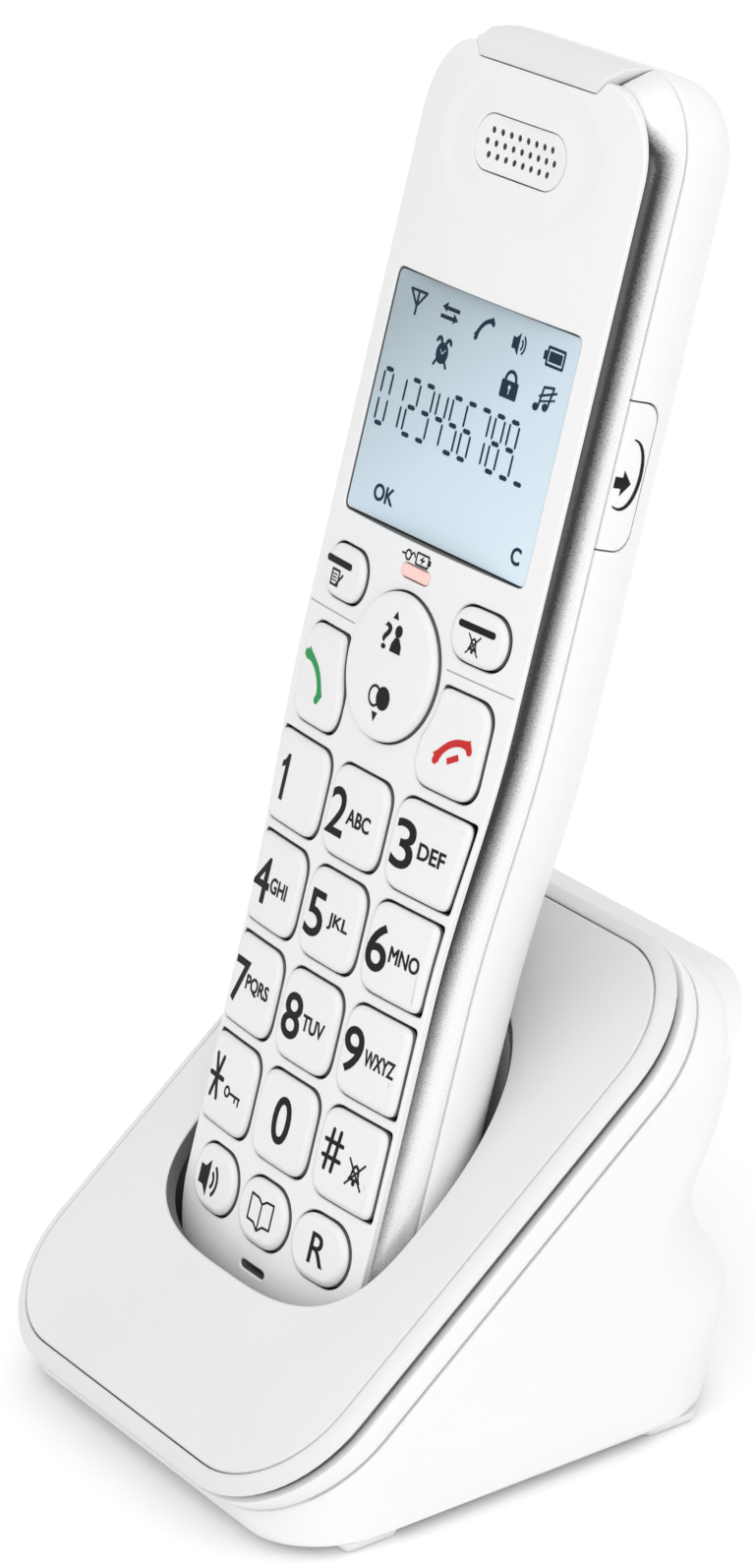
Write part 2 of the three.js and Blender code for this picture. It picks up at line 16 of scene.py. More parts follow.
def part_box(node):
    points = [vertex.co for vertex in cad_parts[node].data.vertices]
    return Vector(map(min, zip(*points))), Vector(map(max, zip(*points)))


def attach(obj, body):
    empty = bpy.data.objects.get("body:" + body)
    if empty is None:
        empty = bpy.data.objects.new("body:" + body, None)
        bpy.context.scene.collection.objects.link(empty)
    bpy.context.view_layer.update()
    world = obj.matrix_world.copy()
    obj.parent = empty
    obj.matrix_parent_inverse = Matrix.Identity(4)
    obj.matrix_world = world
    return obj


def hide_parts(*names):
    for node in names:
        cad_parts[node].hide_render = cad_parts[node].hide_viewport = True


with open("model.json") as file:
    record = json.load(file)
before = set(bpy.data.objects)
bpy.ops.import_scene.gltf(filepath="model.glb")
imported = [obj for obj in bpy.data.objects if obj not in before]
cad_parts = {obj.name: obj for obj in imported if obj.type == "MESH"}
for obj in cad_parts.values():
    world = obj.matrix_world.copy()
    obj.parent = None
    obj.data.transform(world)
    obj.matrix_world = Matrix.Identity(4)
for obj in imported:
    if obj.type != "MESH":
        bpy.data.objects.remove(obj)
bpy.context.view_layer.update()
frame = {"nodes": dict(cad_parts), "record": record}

# ---------------------------------------------------------------- dimensions, in millimetres
MM = 0.001
GAP = 0.25
FINE_GAP = 0.12  # round the inserts, the lens, the battery cover and the side key
HEIGHT = 163.0
DISPLAY_HALF, KEYPAD_HALF = 24.9, 22.0
WAIST = (50.0, 85.0)
TOP_CORNER, FOOT_CORNER = 10.5, 12.0
CROWN_RISE, CROWN_FALL = 1.3, 1.9
BAND_GROW, BAND_RISE = 1.4, 2.6
SHELL_FRONT, SHELL_BEND, SHELL_BACK = 5.6, 7.0, 19.5
SHELL_SIDE_ROUND, SHELL_END_ROUND, SHELL_WALL = 20.0, 8.0, 1.8
RECLINE = math.radians(21.7)
SLOPE = math.radians(36)
DISPLAY = (-21.0, 21.0, 102.1, 133.0)
GLASS = -0.35
EAR_Z, EAR_HALF, EAR_HEIGHT = 151.6, 10.15, 7.0
NAV_Z, NAV_RX, NAV_RZ, NAV_STAND = 86.4, 9.9, 9.35, 1.0
KEY_STAND = 0.7
RIM = 0.75  # least width of plate outside the outer keys
KEY_BASE = -0.38
DIAL_ROWS, DIAL_HEIGHT, DIAL_MIDDLE, DIAL_INNER = (66.9, 53.6, 40.2, 26.9), 11.5, 6.6, 8.3
PANEL_HALF, PANEL_FRONT, PANEL_REAR, PANEL_CORNER = 35.9, -77.9, 5.5, 15.0
PANEL_RISE = 55.8
BODY_HALF, BODY_FRONT, BODY_REAR, BODY_CORNER, BODY_WALL = 38.3, -60.0, 4.2, 12.0, 2.2
SEAM_DEPTH = 6.7
BASE_FLOOR = 1.5
REAR = ((4.2, 1.5), (6.4, 8), (9.6, 16.2), (7.9, 20.2), (6.5, 24), (6.1, 28), (6.8, 31.8),
        (9, 36.2), (11.8, 41), (13.9, 46), (14.4, 50), (13.2, 53.6))
CUP_HALF, CUP_MIDDLE, CUP_FRONT, CUP_REAR, CUP_FLOOR, CUP_WALL = 25.4, -4.0, 9.3, 17.0, -0.5, 1.6

foot_low, foot_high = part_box("foot_front_left")
SHIFT = (foot_low.y + foot_high.y) / 2 / MM + 49
SCALE = Matrix.Diagonal((MM, MM, MM, 1))
CRADLE = SCALE @ Matrix.Translation((0, SHIFT, 0))
HANDSET = CRADLE @ Matrix.Translation((0, -43.85, 13.7)) @ Matrix.Rotation(-RECLINE, 4, "X")
PANEL = CRADLE @ Matrix.Translation((0, 0, PANEL_RISE)) @ Matrix.Rotation(SLOPE, 4, "X")

# ---------------------------------------------------------------- camera, light and floor
def place_camera():
    azimuth, elevation, roll = (math.radians(v) for v in (61.25, 22.16, -6.0))
    back = Vector((math.sin(azimuth) * math.cos(elevation), -math.cos(azimuth) * math.cos(elevation),
                   math.sin(elevation)))
    level = Vector((math.cos(azimuth), math.sin(azimuth), 0))
    rise = back.cross(level)
    right = math.cos(roll) * level + math.sin(roll) * rise
    up = math.cos(roll) * rise - math.sin(roll) * level
    target = CRADLE @ Vector((7.3, -21.0, 83.3))
    data = bpy.data.cameras.new("camera")
    data.sensor_fit, data.sensor_height, data.lens = "VERTICAL", 36.0, 133.7
    data.clip_end = 20
    camera = bpy.data.objects.new("camera", data)
    bpy.context.scene.collection.objects.link(camera)
    pose = Matrix((right, up, back)).transposed().to_4x4()
    pose.translation = target + back * 0.7137
    camera.matrix_world = pose
    bpy.context.scene.camera = camera


def area_light(name, location, target, size, energy):
    data = bpy.data.lights.new(name, "AREA")
    data.shape, data.size, data.energy = "DISK", size, energy
    light = bpy.data.objects.new(name, data)
    bpy.context.scene.collection.objects.link(light)
    light.location = location
    light.rotation_euler = (Vector(location) - Vector(target)).to_track_quat("Z", "Y").to_euler()


def light_scene():
    world = bpy.data.worlds.new("studio")
    bpy.context.scene.world = world
    world.use_nodes = True
    background = world.node_tree.nodes["Background"]
    sky = world.node_tree
    axes = sky.nodes.new("ShaderNodeSeparateXYZ")
    sky.links.new(sky.nodes.new("ShaderNodeTexCoord").outputs["Generated"], axes.inputs[0])
    half = sky.nodes.new("ShaderNodeMath")
    half.operation = "MULTIPLY_ADD"
    half.inputs[1].default_value = half.inputs[2].default_value = 0.5
    sky.links.new(axes.outputs["X"], half.inputs[0])
    shade = ramp(sky, half.outputs[0], [(0.0, 0.6), (0.3, 0.9), (0.5, 1.0)])
    sky.links.new(shade, background.inputs["Color"])
    background.inputs["Strength"].default_value = 1.1
    centre = (0, 0, 0.08)
    area_light("window_light", (1.15, -0.55, 0.75), centre, 0.7, 3.6)
    area_light("top_light", (0.1, 0.0, 1.35), centre, 0.8, 1.2)
    area_light("front_light", (-0.35, -1.2, 0.8), centre, 0.5, 0.5)
    view = bpy.context.scene.view_settings
    view.view_transform, view.look = "Standard", "None"


# ---------------------------------------------------------------- materials
def tree_of(material):
    material.use_nodes = True
    tree = material.node_tree
    return tree, tree.nodes["Principled BSDF"]


def noise(tree, coordinates, scale, detail=2.0):
    node = tree.nodes.new("ShaderNodeTexNoise")
    node.inputs["Scale"].default_value = scale
    node.inputs["Detail"].default_value = detail
    tree.links.new(coordinates, node.inputs["Vector"])
    return node.outputs["Fac"]


def ramp(tree, factor, stops):
    node = tree.nodes.new("ShaderNodeValToRGB")
    tree.links.new(factor, node.inputs["Fac"])
    elements = node.color_ramp.elements
    while len(elements) < len(stops):
        elements.new(0.5)
    for element, (position, value) in zip(elements, stops):
        element.position = position
        element.color = (*value, 1) if isinstance(value, tuple) else (value, value, value, 1)
    return node.outputs["Color"]


def surface(name, color, roughness, metallic=0.0, grain=900.0, spread=0.02, rough_spread=0.05,
            bump=0.04, coat=0.0, mottling=40.0, specular=0.5):
    """Moulded plastic or metal: a faint mottling, fine grain in the gloss and a shallow texture."""
    material = bpy.data.materials.new(name)
    tree, shader = tree_of(material)
    objects = tree.nodes.new("ShaderNodeTexCoord").outputs["Object"]
    shade = lambda k: tuple(min(1.0, c * k) for c in color)
    cloud = noise(tree, objects, mottling, 3.0)
    tree.links.new(ramp(tree, cloud, [(0.3, shade(1 - spread)), (0.7, shade(1 + spread))]),
                   shader.inputs["Base Color"])
    fine = noise(tree, objects, grain)
    gloss = [(0.3, max(0.02, roughness - rough_spread)), (0.7, min(1.0, roughness + rough_spread))]
    tree.links.new(ramp(tree, fine, gloss), shader.inputs["Roughness"])
    texture = tree.nodes.new("ShaderNodeBump")
    texture.inputs["Strength"].default_value = bump
    texture.inputs["Distance"].default_value = 0.00005
    tree.links.new(fine, texture.inputs["Height"])
    tree.links.new(texture.outputs["Normal"], shader.inputs["Normal"])
    shader.inputs["Metallic"].default_value = metallic
    shader.inputs["Coat Weight"].default_value = coat
    shader.inputs["Coat Roughness"].default_value = 0.08
    shader.inputs["Specular IOR Level"].default_value = specular
    return material


def silver_band():
    """Metallised plastic with a painted reflection: dark at its front edge, a grainy change to bright towards
    the seam.
    """
    material = bpy.data.materials.new("silver_band")
    tree, shader = tree_of(material)
    painted_band_reflection = tree.nodes.new("ShaderNodeAttribute")
    painted_band_reflection.attribute_name = "painted_band_reflection"
    objects = tree.nodes.new("ShaderNodeTexCoord").outputs["Object"]
    grain = noise(tree, objects, 5200.0, 1.0)
    offset = tree.nodes.new("ShaderNodeMath")
    offset.operation = "MULTIPLY_ADD"
    offset.inputs[1].default_value = 0.24
    offset.inputs[2].default_value = -0.12
    tree.links.new(grain, offset.inputs[0])
    total = tree.nodes.new("ShaderNodeMath")
    total.operation = "ADD"
    tree.links.new(painted_band_reflection.outputs["Fac"], total.inputs[0])
    tree.links.new(offset.outputs[0], total.inputs[1])
    # Painted reflection: near black at the front edge, grey in the middle, bright towards the seam.
    stops = [(0.0, 0.07), (0.08, 0.015), (0.2, 0.03), (0.4, 0.28), (0.62, 0.72), (0.8, 0.8), (1.0, 0.8)]
    tree.links.new(ramp(tree, total.outputs[0], stops), shader.inputs["Base Color"])
    shader.inputs["Metallic"].default_value = 0.4
    tree.links.new(ramp(tree, grain, [(0.3, 0.26), (0.7, 0.4)]), shader.inputs["Roughness"])
    return material


def lcd_painted_light():
    """A reflective display behind its window: pale blue, brighter towards one corner, with painted shade at
    the upper left and painted light towards the lower right.
    """
    material = bpy.data.materials.new("display")
    tree, shader = tree_of(material)
    generated = tree.nodes.new("ShaderNodeTexCoord").outputs["Generated"]
    axes = tree.nodes.new("ShaderNodeSeparateXYZ")
    tree.links.new(generated, axes.inputs[0])
    slide = tree.nodes.new("ShaderNodeMath")
    slide.operation = "SUBTRACT"
    tree.links.new(axes.outputs["X"], slide.inputs[0])
    tree.links.new(axes.outputs["Z"], slide.inputs[1])
    scaled = tree.nodes.new("ShaderNodeMath")
    scaled.operation = "MULTIPLY_ADD"
    scaled.inputs[1].default_value = 0.5
    scaled.inputs[2].default_value = 0.5
    tree.links.new(slide.outputs[0], scaled.inputs[0])
    # Painted light and shade: darkest at the upper left corner, brightest at the lower right.
    stops = [(0.1, (0.31, 0.38, 0.42)), (0.3, (0.42, 0.51, 0.57)), (0.55, (0.53, 0.64, 0.72)),
             (0.95, (0.62, 0.735, 0.81))]
    tree.links.new(ramp(tree, scaled.outputs[0], stops), shader.inputs["Base Color"])
    shader.inputs["Roughness"].default_value = 0.22
    return material


def shaded_cup():
    """The pocket the handset stands in: its grey is painted shade, darkest at the left and lighter towards
    the right.
    """
    material = surface("cup_painted_shade", (0.5, 0.5, 0.5), 0.34, grain=1200.0)
    tree, shader = tree_of(material)
    axes = tree.nodes.new("ShaderNodeSeparateXYZ")
    tree.links.new(tree.nodes.new("ShaderNodeTexCoord").outputs["Generated"], axes.inputs[0])
    # Painted shade: near black at the left, mid grey at the right.
    stops = [(0.1, 0.10), (0.3, 0.24), (0.5, 0.44), (0.75, 0.64), (0.9, 0.68)]
    tree.links.new(ramp(tree, axes.outputs["X"], stops), shader.inputs["Base Color"])
    return material


MATERIALS = {
    "white": surface("white_plastic", (0.77, 0.77, 0.77), 0.34, coat=0.05, spread=0.006, bump=0.01),
    "key": surface("key_plastic", (0.73, 0.73, 0.73), 0.38, grain=1400.0, spread=0.008),
    "pearl": surface("pearl_plastic", (0.74, 0.74, 0.74), 0.36, grain=1200.0, coat=0.05, spread=0.008),
    "satin": surface("satin_plastic", (0.69, 0.69, 0.695), 0.46, grain=2600.0, spread=0.015,
                     rough_spread=0.12, bump=0.35),
    "cup": shaded_cup(),
    "lip": surface("lip_plastic", (0.67, 0.67, 0.67), 0.40, spread=0.008, bump=0.01),
    "silver": silver_band(),
    # The chrome line's near-black colour is a painted dark reflection.
    "chrome": surface("chrome_line", (0.07, 0.068, 0.066), 0.2, metallic=1.0, rough_spread=0.06),
    "lens": surface("lens_plastic", (0.69, 0.69, 0.69), 0.38, coat=0.05, spread=0.006, bump=0.01),
    "lcd_glass": lcd_painted_light(),
    "led": surface("light_lens", (0.88, 0.56, 0.52), 0.3, coat=0.3),
    "gap": surface("shadow_gap", (0.13, 0.13, 0.13), 0.7, spread=0.1),
    "ink": surface("black_ink", (0.008, 0.008, 0.009), 0.6, spread=0.2, specular=0.15),
    "navy": surface("display_ink", (0.006, 0.022, 0.045), 0.6, spread=0.2, specular=0.15),
    "green": surface("green_ink", (0.012, 0.26, 0.07), 0.5, specular=0.2),
    "red": surface("red_ink", (0.50, 0.018, 0.016), 0.5, specular=0.2),
    "fine_line": surface("grey_line", (0.30, 0.30, 0.30), 0.5),
    "steel": surface("plated_steel", (0.55, 0.56, 0.57), 0.28, metallic=1.0, grain=3000.0),
    "brass": surface("gold_contact", (0.78, 0.55, 0.22), 0.24, metallic=1.0, grain=3000.0),
    "dark": surface("black_plastic", (0.03, 0.03, 0.032), 0.5, spread=0.1),
    "membrane": surface("silicone", (0.04, 0.04, 0.042), 0.75, spread=0.1, bump=0.1),
    "board": surface("circuit_board", (0.02, 0.16, 0.06), 0.4, spread=0.15, mottling=300.0, coat=0.3),
    "cell_wrap": surface("cell_sleeve", (0.06, 0.30, 0.12), 0.3, coat=0.4),
    "pad": surface("pad_rubber", (0.72, 0.72, 0.715), 0.7, bump=0.2),
    "floor": surface("floor", (0.95, 0.95, 0.95), 0.7, mottling=2.0, grain=60.0, spread=0.006, bump=0.0),
}


# ---------------------------------------------------------------- outlines in two dimensions
def rounded_box(x0, x1, z0, z1, radius, steps=10):
    points = []
    corners = ((x1 - radius, z0 + radius, -90), (x1 - radius, z1 - radius, 0),
               (x0 + radius, z1 - radius, 90), (x0 + radius, z0 + radius, 180))
    for cx, cz, start in corners:
        for i in range(steps + 1):
            angle = math.radians(start + 90 * i / steps)
            points.append((cx + radius * math.cos(angle), cz + radius * math.sin(angle)))
    return np.array(points)


def pill(half, height, z, grow=0.0, x=0.0, steps=24):
    radius, reach = height / 2 + grow, half - height / 2
    angles = np.linspace(-math.pi / 2, math.pi / 2, steps + 1)
    cap = np.c_[reach + radius * np.cos(angles), radius * np.sin(angles)]
    return np.vstack([cap, -cap]) + (x, z)


def oval(cx, cz, rx, rz, sides=96):
    angles = np.linspace(0, 2 * math.pi, sides, endpoint=False)
    return np.c_[cx + rx * np.cos(angles), cz + rz * np.sin(angles)]


def half_width(z):
    share = np.clip((z - WAIST[0]) / (WAIST[1] - WAIST[0]), 0, 1)
    return KEYPAD_HALF + (DISPLAY_HALF - KEYPAD_HALF) * share * share * (3 - 2 * share)


def outline(side, end=None, rise=None, steps=14):
    """The handset's outline seen from the front, grown at its sides, its foot and its top."""
    end = side if end is None else end
    rise = end if rise is None else rise
    keep = 1 if side > 0 else 0.3
    foot = min(max(5, FOOT_CORNER + side * keep), KEYPAD_HALF + side - 1)
    top = min(max(5, TOP_CORNER + side * keep), DISPLAY_HALF + side - 1)
    low, high = BAND_GROW - end, HEIGHT + rise
    right = []
    for i in range(steps + 1):
        angle = math.radians(-90 + 90 * i / steps)
        z = low + foot + foot * math.sin(angle)
        right.append((half_width(z) + side - foot + foot * math.cos(angle), z))
    for z in np.linspace(low + foot, high - top, 42)[1:-1]:
        right.append((half_width(z) + side, z))
    for i in range(steps + 1):
        angle = math.radians(90 * i / steps)
        z = high - top + top * math.sin(angle)
        right.append((half_width(z) + side - top + top * math.cos(angle), z))
    return np.array(right + [(-x, z) for x, z in reversed(right)])


def inside(points, loop):
    """Which points lie inside a closed loop."""
    x, z = points[:, :1], points[:, 1:]
    a, b = loop, np.roll(loop, -1, axis=0)
    spans = (a[:, 1] > z) != (b[:, 1] > z)
    rise = np.where(b[:, 1] == a[:, 1], 1e-12, b[:, 1] - a[:, 1])
    crossing = a[:, 0] + (z - a[:, 1]) * (b[:, 0] - a[:, 0]) / rise
    return (spans & (x < crossing)).sum(1) % 2 == 1


def triangulate(loops, extra=()):
    """Constrained Delaunay triangles over the loops' points and the extra ones, hull and all."""
    points, edges = [], []
    for loop in loops:
        start, count = len(points), len(loop)
        points += [Vector(p) for p in loop]
        edges += [(start + i, start + (i + 1) % count) for i in range(count)]
    points += [Vector(p) for p in extra]
    verts, _, faces, origins, _, _ = delaunay_2d_cdt(points, edges, [], 0, 1e-6)
    return np.array([v[:] for v in verts]), np.array(faces), [o[0] if o else -1 for o in origins]


def boundary_loops(verts, faces):
    edges = {(f[i], f[(i + 1) % 3]) for f in faces for i in range(3)}
    following = {a: b for a, b in edges if (b, a) not in edges}
    loops = []
    while following:
        first, current = following.popitem()
        loop = [first]
        while current != first:
            loop.append(current)
            current = following.pop(current)
        loops.append(verts[loop])
    return loops


def region(within, without=()):
    """The loops round what lies within every one of some outlines and without the others."""
    verts, faces, _ = triangulate([*within, *without])
    centres = verts[faces].mean(1)
    keep = np.all([inside(centres, loop) for loop in within], axis=0)
    for loop in without:
        keep &= ~inside(centres, loop)
    return boundary_loops(verts, faces[keep].tolist())


def even(loop, spacing=0.45, rounds=2):
    """The loop with evenly spaced points and slightly rounded corners."""
    closed = np.vstack([loop, loop[:1]])
    lengths = np.r_[0, np.cumsum(np.linalg.norm(np.diff(closed, axis=0), axis=1))]
    count = max(12, int(round(lengths[-1] / spacing)))
    marks = np.linspace(0, lengths[-1], count, endpoint=False)
    points = np.c_[np.interp(marks, lengths, closed[:, 0]), np.interp(marks, lengths, closed[:, 1])]
    for _ in range(rounds):
        points = (np.roll(points, 1, axis=0) + 2 * points + np.roll(points, -1, axis=0)) / 4
    return points


def at_depth(loop, y):
    """A loop seen from the front, as points at a depth."""
    return np.c_[loop[:, 0], np.full(len(loop), y), loop[:, 1]]


def left_normals(loop):
    """Unit normals to the left of the loop's direction, and how far a mitred corner stretches them."""
    ahead = np.roll(loop, -1, axis=0) - loop
    ahead /= np.linalg.norm(ahead, axis=1, keepdims=True) + 1e-12
    behind = np.roll(ahead, 1, axis=0)
    total = ahead + behind
    total /= np.linalg.norm(total, axis=1, keepdims=True) + 1e-12
    stretch = 1 / np.clip((total * ahead).sum(1), 0.6, 1)
    return np.c_[-total[:, 1], total[:, 0]], stretch[:, None]


# ---------------------------------------------------------------- meshes
FRONT = lambda p, h: np.c_[p[:, 0], -h, p[:, 1]]
RIGHT_SIDE = lambda p, h: np.c_[h, p[:, 0], p[:, 1]]
ABOVE = lambda p, h: np.c_[p[:, 0], p[:, 1], h]
BELOW = lambda p, h: np.c_[p[:, 0], -p[:, 1], -h]


def finish_piece(obj, body, replaces=()):
    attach(obj, body)
    if replaces:
        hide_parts(*replaces)
    return obj


def new_mesh(name, verts, faces, place, material, sharp=40, normals=None, attribute=None):
    points = np.c_[np.asarray(verts, float), np.ones(len(verts))] @ np.array(place).T
    mesh = bpy.data.meshes.new(name)
    mesh.from_pydata(points[:, :3].tolist(), [], [list(map(int, f)) for f in faces])
    mesh.materials.append(MATERIALS[material])
    mesh.shade_smooth()
    if attribute is not None:
        mesh.attributes.new("painted_band_reflection", "FLOAT", "POINT").data.foreach_set("value", attribute)
    if normals is None:
        mesh.set_sharp_from_angle(angle=math.radians(sharp))
    else:
        turned = np.asarray(normals) @ np.array(place.to_3x3()).T
        turned /= np.linalg.norm(turned, axis=1, keepdims=True)
        mesh.normals_split_custom_set(turned.tolist())
    mesh.update()
    obj = bpy.data.objects.new(name, mesh)
    bpy.context.scene.collection.objects.link(obj)
    return obj


def round_edge(radius, drop=None, steps=5):
    """An edge profile as (inset, drop, tilt) from the wall to the face."""
    drop = radius if drop is None else drop
    angles = [math.radians(90 * i / steps) for i in range(steps + 1)]
    return [(radius * (1 - math.cos(a)), drop * (1 - math.sin(a)), math.pi / 2 - a) for a in angles]


def relief(name, loops, height, base, place, material, lay=FRONT, edge=None, grid=1.6, painted_shade_walls=None,
           **options):
    """A plate bounded by loops (material on the left) with a shaped face, rounded edges and a flat back."""
    edge = edge or round_edge(0.3)
    verts, normals, faces = [], [], []
    tips, count, shaded = [], 0, []

    def slope_normal(points):
        step = 0.02
        dx = (height(points + (step, 0)) - height(points - (step, 0))) / (2 * step)
        dz = (height(points + (0, step)) - height(points - (0, step))) / (2 * step)
        n = np.c_[-dx, -dz, np.ones(len(points))]
        return n / np.linalg.norm(n, axis=1, keepdims=True)

    def lay_normals(n):
        return lay(n[:, :2], n[:, 2])

    bottoms = []
    for number, loop in enumerate(loops):
        into, stretch = left_normals(loop)
        n = len(loop)
        # From this loop number on, the walls are painted dark grey with the gap material: painted shade for
        # the shadow down the gaps and holes.
        if painted_shade_walls is not None and number >= painted_shade_walls:
            shaded += range(len(faces), len(faces) + n)
        rings = [(loop, np.full(n, base), np.c_[-into, np.zeros(n)])]
        for inset, drop, tilt in edge:
            p = loop + into * inset * stretch
            blend = np.cos(tilt) * slope_normal(p) + np.sin(tilt) * np.c_[-into, np.zeros(n)]
            rings.append((p, height(p) - drop, blend / np.linalg.norm(blend, axis=1, keepdims=True)))
        for p, h, nn in rings:
            verts.append(lay(p, h))
            normals.append(lay_normals(nn))
        for k in range(len(rings) - 1):
            for i in range(n):
                j = (i + 1) % n
                here, above = count + k * n, count + (k + 1) * n
                faces.append((here + i, here + j, above + j, above + i))
        bottoms.append(range(count, count + n))
        tips.append((rings[-1][0], count + (len(rings) - 1) * n))
        count += n * len(rings)
    inner = [tip for tip, _ in tips]
    low = np.min([t.min(0) for t in inner], axis=0)
    high = np.max([t.max(0) for t in inner], axis=0)
    xs, zs = (np.arange(low[i] + grid / 2, high[i], grid) for i in (0, 1))
    lattice = np.array([(x + (grid / 2 if r % 2 else 0), z) for r, z in enumerate(zs) for x in xs])
    if len(lattice):
        border = np.vstack(inner)
        near = np.array([np.min(np.abs(border - p).max(1)) < grid * 0.55 for p in lattice])
        odd = np.sum([inside(lattice, t) for t in inner], axis=0) % 2 == 1
        lattice = lattice[~near & odd]
    flat, triangles, origins = triangulate(inner, lattice)
    odd = np.sum([inside(flat[triangles].mean(1), t) for t in inner], axis=0) % 2 == 1
    ids = np.concatenate([np.arange(len(t)) + start for t, start in tips] + [count + np.arange(len(lattice))])
    if len(lattice):
        verts.append(lay(lattice, height(lattice)))
        normals.append(lay_normals(slope_normal(lattice)))
        count += len(lattice)
    for triangle in triangles[odd]:
        faces.append([ids[origins[v]] for v in triangle])
    flat_back, back_triangles, back_origins = triangulate(loops)
    odd = np.sum([inside(flat_back[back_triangles].mean(1), t) for t in loops], axis=0) % 2 == 1
    ground = np.concatenate([np.array(b) for b in bottoms])
    back_faces = [[ground[back_origins[v]] for v in reversed(t)] for t in back_triangles[odd]]
    verts, normals = np.vstack(verts), np.vstack(normals)
    back_normal = lay_normals(np.array([[0, 0, -1.0]]))[0]
    corner_normals = [normals[v] for f in faces for v in f] + [back_normal for f in back_faces for v in f]
    plate = new_mesh(name, verts, faces + back_faces, place, material, normals=corner_normals, **options)
    # Painted shade on the chosen walls.
    if shaded:
        plate.data.materials.append(MATERIALS["gap"])
        for face in shaded:
            plate.data.polygons[face].material_index = 1
    return plate


def skin(name, rings, place, material, caps=(True, True), **options):
    """Joins rings of equally many points into one surface, with flat caps at its ends."""
    count = len(rings[0])
    faces = []
    for r in range(len(rings) - 1):
        for i in range(count):
            j = (i + 1) % count
            faces.append((r * count + i, r * count + j, (r + 1) * count + j, (r + 1) * count + i))
    if caps[0]:
        faces.append(tuple(reversed(range(count))))
    if caps[1]:
        faces.append(tuple(range((len(rings) - 1) * count, len(rings) * count)))
    return new_mesh(name, np.vstack(rings), faces, place, material, **options)


def hoop(name, sections, place, material, **options):
    """A closed profile swept round: sections are rings of points, and the last joins the first."""
    count, total = len(sections[0]), len(sections)
    faces = []
    for r in range(total):
        for i in range(count):
            j, s = (i + 1) % count, (r + 1) % total
            faces.append((r * count + i, r * count + j, s * count + j, s * count + i))
    return new_mesh(name, np.vstack(sections), faces, place, material, **options)


def lathe(name, profile, centre, axis, place, material, sides=40, **options):
    """Turns (radius, height) points round an axis through centre; the profile starts and ends on it."""
    angles = np.linspace(0, 2 * math.pi, sides, endpoint=False)
    turn = Vector((0, 0, 1)).rotation_difference(Vector(axis)).to_matrix()
    rings = []
    for radius, height in profile:
        reach = max(radius, 0.03)
        ring = np.c_[reach * np.cos(angles), reach * np.sin(angles), np.full(sides, float(height))]
        rings.append(ring @ np.array(turn).T + np.array(centre, float))
    return skin(name, rings, place, material, **options)


def modify(obj, kind, **settings):
    """Adds a modifier, applies it to the mesh and removes it."""
    modifier = obj.modifiers.new(kind.lower(), kind)
    for key, value in settings.items():
        setattr(modifier, key, value)
    evaluated = obj.evaluated_get(bpy.context.evaluated_depsgraph_get())
    mesh = bpy.data.meshes.new_from_object(evaluated)
    obj.modifiers.remove(modifier)
    old, obj.data = obj.data, mesh
    mesh.name = obj.name
    bpy.data.meshes.remove(old)


def carve(obj, cutters, operation="DIFFERENCE"):
    for cutter in cutters:
        bpy.context.view_layer.update()
        modify(obj, "BOOLEAN", operation=operation, object=cutter, solver="EXACT")


def discard(*objects):
    for obj in objects:
        mesh = obj.data
        bpy.data.objects.remove(obj)
        bpy.data.meshes.remove(mesh)


def duplicate(obj, name):
    copy = obj.copy()
    copy.data = obj.data.copy()
    copy.name = name
    bpy.context.scene.collection.objects.link(copy)
    return copy


def smooth_over(obj, degrees=50):
    obj.data.shade_smooth()
    obj.data.set_sharp_from_angle(angle=math.radians(degrees))


def reshade(obj, reference):
    """Gives faces that are still on the reference surface its smooth normals."""
    mesh = reference.data
    tree = BVHTree.FromPolygons([v.co for v in mesh.vertices], [p.vertices for p in mesh.polygons])
    target = obj.data
    normals = []
    for polygon in target.polygons:
        for loop in polygon.loop_indices:
            point = target.vertices[target.loops[loop].vertex_index].co
            _, _, face, distance = tree.find_nearest(polygon.center)
            normal = polygon.normal
            source = mesh.polygons[face]
            if distance < 3e-5 and source.normal.dot(normal) > 0.9:
                _, _, near_face, _ = tree.find_nearest(point * 0.98 + polygon.center * 0.02)
                near = mesh.polygons[near_face]
                if near.normal.dot(normal) > 0.8:
                    total, weight = Vector(), 0.0
                    for v, l in zip(near.vertices, near.loop_indices):
                        w = 1 / ((mesh.vertices[v].co - point).length + 1e-7) ** 2
                        total += mesh.corner_normals[l].vector * w
                        weight += w
                    normal = (total / weight).normalized()
            normals.append(normal[:])
    target.shade_smooth()
    target.normals_split_custom_set(normals)


# ---------------------------------------------------------------- ink: legends and symbols
def capsule(a, b, width, steps=7):
    a, b = np.array(a, float), np.array(b, float)
    angle = math.atan2(*(b - a)[::-1])
    turn = lambda start: [start + math.pi * i / steps for i in range(steps + 1)]
    tip = lambda c, t: (c[0] + width / 2 * math.cos(t), c[1] + width / 2 * math.sin(t))
    return np.array([tip(b, t) for t in turn(angle - math.pi / 2)] +
                    [tip(a, t) for t in turn(angle + math.pi / 2)])


def stroke(points, width, closed=False):
    ends = list(points[1:]) + ([points[0]] if closed else [])
    return [(capsule(a, b, width), True) for a, b in zip(points, ends)]


def arc_band(cx, cz, radius, width, start, end, steps=24):
    angles = np.radians(np.linspace(start, end, steps))
    ring = lambda r: np.c_[cx + r * np.cos(angles), cz + r * np.sin(angles)]
    return [(np.vstack([ring(radius + width / 2), ring(radius - width / 2)[::-1]]), True)]


def bend(p0, p1, p2, steps=16):
    t = np.linspace(0, 1, steps)[:, None]
    return (1 - t) ** 2 * np.array(p0) + 2 * t * (1 - t) * np.array(p1) + t ** 2 * np.array(p2)


